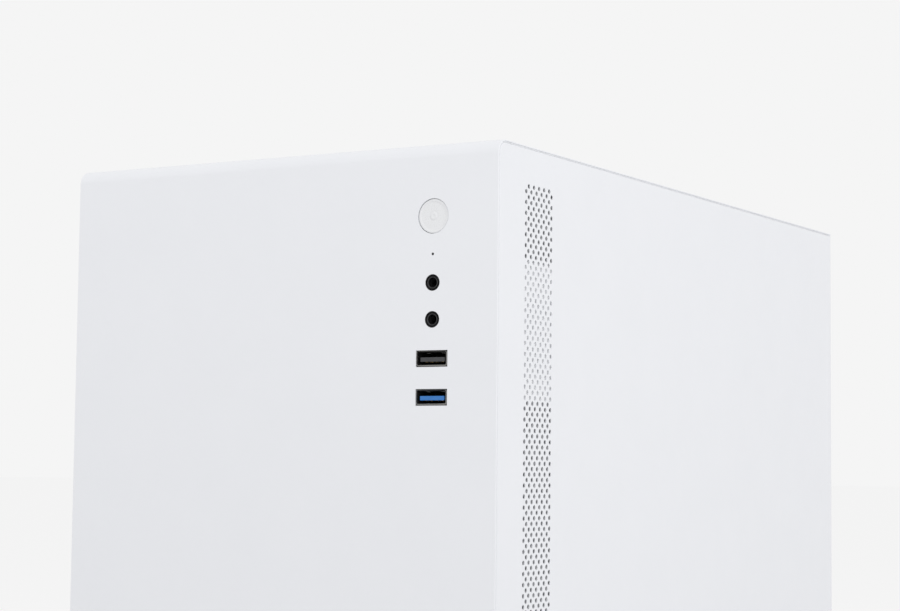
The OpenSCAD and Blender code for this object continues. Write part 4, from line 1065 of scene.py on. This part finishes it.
def supply_details():
    """Cover screws, pressed panels and the grommet where the cables leave."""
    lo, hi = corners("psu_cover")
    cover, screws, grommet = bmesh.new(), bmesh.new(), bmesh.new()
    for x, side in ((lo.x, -1), (hi.x, 1)):
        for k in range(2):
            y = lo.y + 12 + k * 62
            raised(cover, x, side, 0.5, (y, lo.z + 16), (y + 54, hi.z - 14), 0.45)
        for y, z in ((lo.y + 5, lo.z + 5), (lo.y + 5, hi.z - 5), (hi.y - 5, lo.z + 5), (hi.y - 5, hi.z - 5)):
            lathe(screws, [(0, 1.3), (1.8, 1.2), (2.5, 0.7), (2.7, 0), (2.7, -0.5)], (x, y, z), X * side, 24)
    lip = ((2, 0.5), (2, -1.6), (1.4, -2.2), (0.6, -2.2), (0, -1.6), (0, 0.5))
    for route, radius in ((POWER, 7.5), (CPU_POWER, 4.6)):
        lathe(grommet, [(radius - inset, height) for inset, height in lip], route[0], Y, 36)
    fit("supply_pressings", cover, "case", "psu_coat")
    fit("supply_screws", screws, "case", "plated_steel")
    fit("supply_grommets", grommet, "case", "rubber_black")


def drive_details():
    """The hard drive's lid with its pressed ring and screws, and the small drive's lid."""
    lo, hi = corners("hard_drive")
    lid, screws = bmesh.new(), bmesh.new()
    block(lid, (lo.x + 5.5, lo.y + 4.5, hi.z - 0.3), (hi.x - 5.5, hi.y - 4.5, hi.z + 0.6), 0.35)
    pressed = [(0, 0.9), (9, 0.9), (9.6, 0.5), (38, 0.5), (39.2, 1.0), (41, 1.0), (42.2, 0.4)]
    lathe(lid, pressed, (lo.x + 92, (lo.y + hi.y) / 2, hi.z), Z, 72)
    for x in (lo.x + 10, (lo.x + hi.x) / 2, hi.x - 10):
        for y in (lo.y + 9, hi.y - 9):
            lathe(screws, [(0, 1.2), (1.7, 1.1), (2.3, 0.6), (2.3, 0)], (x, y, hi.z), Z, 24)
    fit("drive_lid", lid, "case", "aluminium_fin")
    lo, hi = corners("solid_state_drive")
    small = bmesh.new()
    block(small, (hi.x - 0.2, lo.y + 2, lo.z + 2), (hi.x + 0.5, hi.y - 2, hi.z - 2), 0.3)
    for y in (lo.y + 5, hi.y - 5):
        for z in (lo.z + 5, hi.z - 5):
            lathe(screws, [(0, 1.0), (1.2, 0.9), (1.7, 0.4), (1.7, 0)], (hi.x, y, z), X, 20)
    fit("small_drive_lid", small, "case", "dark_plastic")
    fit("drive_screws", screws, "case", "plated_steel")


def filter_mesh():
    """The woven mesh held in the dust filter's windows."""
    lo, hi = corners("dust_filter")
    bm = bmesh.new()
    middle = (lo.z + hi.z) / 2 - 0.4
    wire, pitch = 0.16, 1.5
    x0, x1, y0, y1 = lo.x + 3, hi.x - 3, lo.y + 4, hi.y - 8
    for k in range(int((x1 - x0) / pitch) + 1):
        x = x0 + k * pitch
        block(bm, (x, y0, middle), (x + wire, y1, middle + wire))
    for k in range(int((y1 - y0) / pitch) + 1):
        y = y0 + k * pitch
        block(bm, (x0, y, middle - wire), (x1, y + wire, middle))
    fit("filter_mesh", bm, "dust_filter", "dark_plastic")


def foot_pads():
    """A softer ring pressed into the underside of each foot."""
    pad = [(5.2, 1.5), (5.2, 0.05), (5.6, 0.0), (10.6, 0.0), (11.2, 0.25), (11.75, 2.0), (11.75, 2.6),
           (11.3, 2.9)]
    bm = bmesh.new()
    for lo, hi in solids("feet"):
        lathe(bm, pad, ((lo.x + hi.x) / 2, (lo.y + hi.y) / 2, lo.z), Z, 48)
    fit("foot_pads", bm, "case", "rubber_black")


# ------------------------------------------------------------------ the object

# How wide the rounded edges are on the CAD nodes that stay in view
EDGES = {
    "rear_panel": 0.15, "base_plate": 0.2, "top_rails": 0.25, "front_frame": 0.15,
    "motherboard_tray": 0.15, "feet": 0.6, "filter_rails": 0.3, "dust_filter": 0.25, "port_bracket": 0.25,
    "audio_jacks": 0.12, "button_housing": 0.2, "power_switch": 0.25,
    "cpu_socket": 0.4, "memory_sockets": 0.25, "memory_modules": 0.25, "expansion_sockets": 0.25,
    "rear_ports": 0.12, "board_headers": 0.3, "board_heatsinks": 0.2, "graphics_shroud": 0.5,
    "graphics_board": 0.12, "slot_brackets": 0.12, "psu_case": 0.2, "psu_cover": 0.4, "mains_inlet": 0.3,
    "psu_switch_rocker": 0.25, "psu_electronics": 0.4, "case_fan_frames": 0.4, "cpu_fan_frame": 0.4,
    "psu_fan_frame": 0.4, "drive_cage": 0.2, "hard_drive": 0.6, "solid_state_drive": 0.6,
    "panel_sockets": 0.2, "port_board": 0.1, "io_shield": 0.1, "case_screws": 0.15,
}
# Each fan body's hub radius, number of blades and slot
FANS = {
    "front_fan": (19, 7, "fan_white"), "rear_fan": (17, 7, "fan_white"), "cpu_fan": (17, 7, "dark_plastic"),
    "psu_fan": (19, 9, "dark_plastic"), "graphics_fan": (14, 9, "dark_plastic"),
}

make_camera()
make_studio()

for made in nodes.values():
    for held in made.material_slots:
        held.material = finish_of(held.material.name)
for name, width in EDGES.items():
    soften(name, width)

front_top_sheet()
bracket_film()
rounded_panel("right_side_panel", 1)
rounded_panel("left_side_panel", -1)
for side in (-1, 1):
    seam_lining(side)
button_piece()
jack_liners()
for version, slot, finish in ((2, "black_plastic", "dark_plastic"), (3, "blue_plastic", "blue_plastic")):
    usb_mouth(version)
    usb_inside(version, slot, finish)
for joint in frame["joints"]:
    if joint["child"] in FANS:
        fan(joint["child"] + "_rotor", joint, *FANS[joint["child"]])
cables()
board_parts()
memory_details()
rear_port_details()
rear_jack_bushes()
graphics_details()
supply_details()
drive_details()
filter_mesh()
foot_pads()
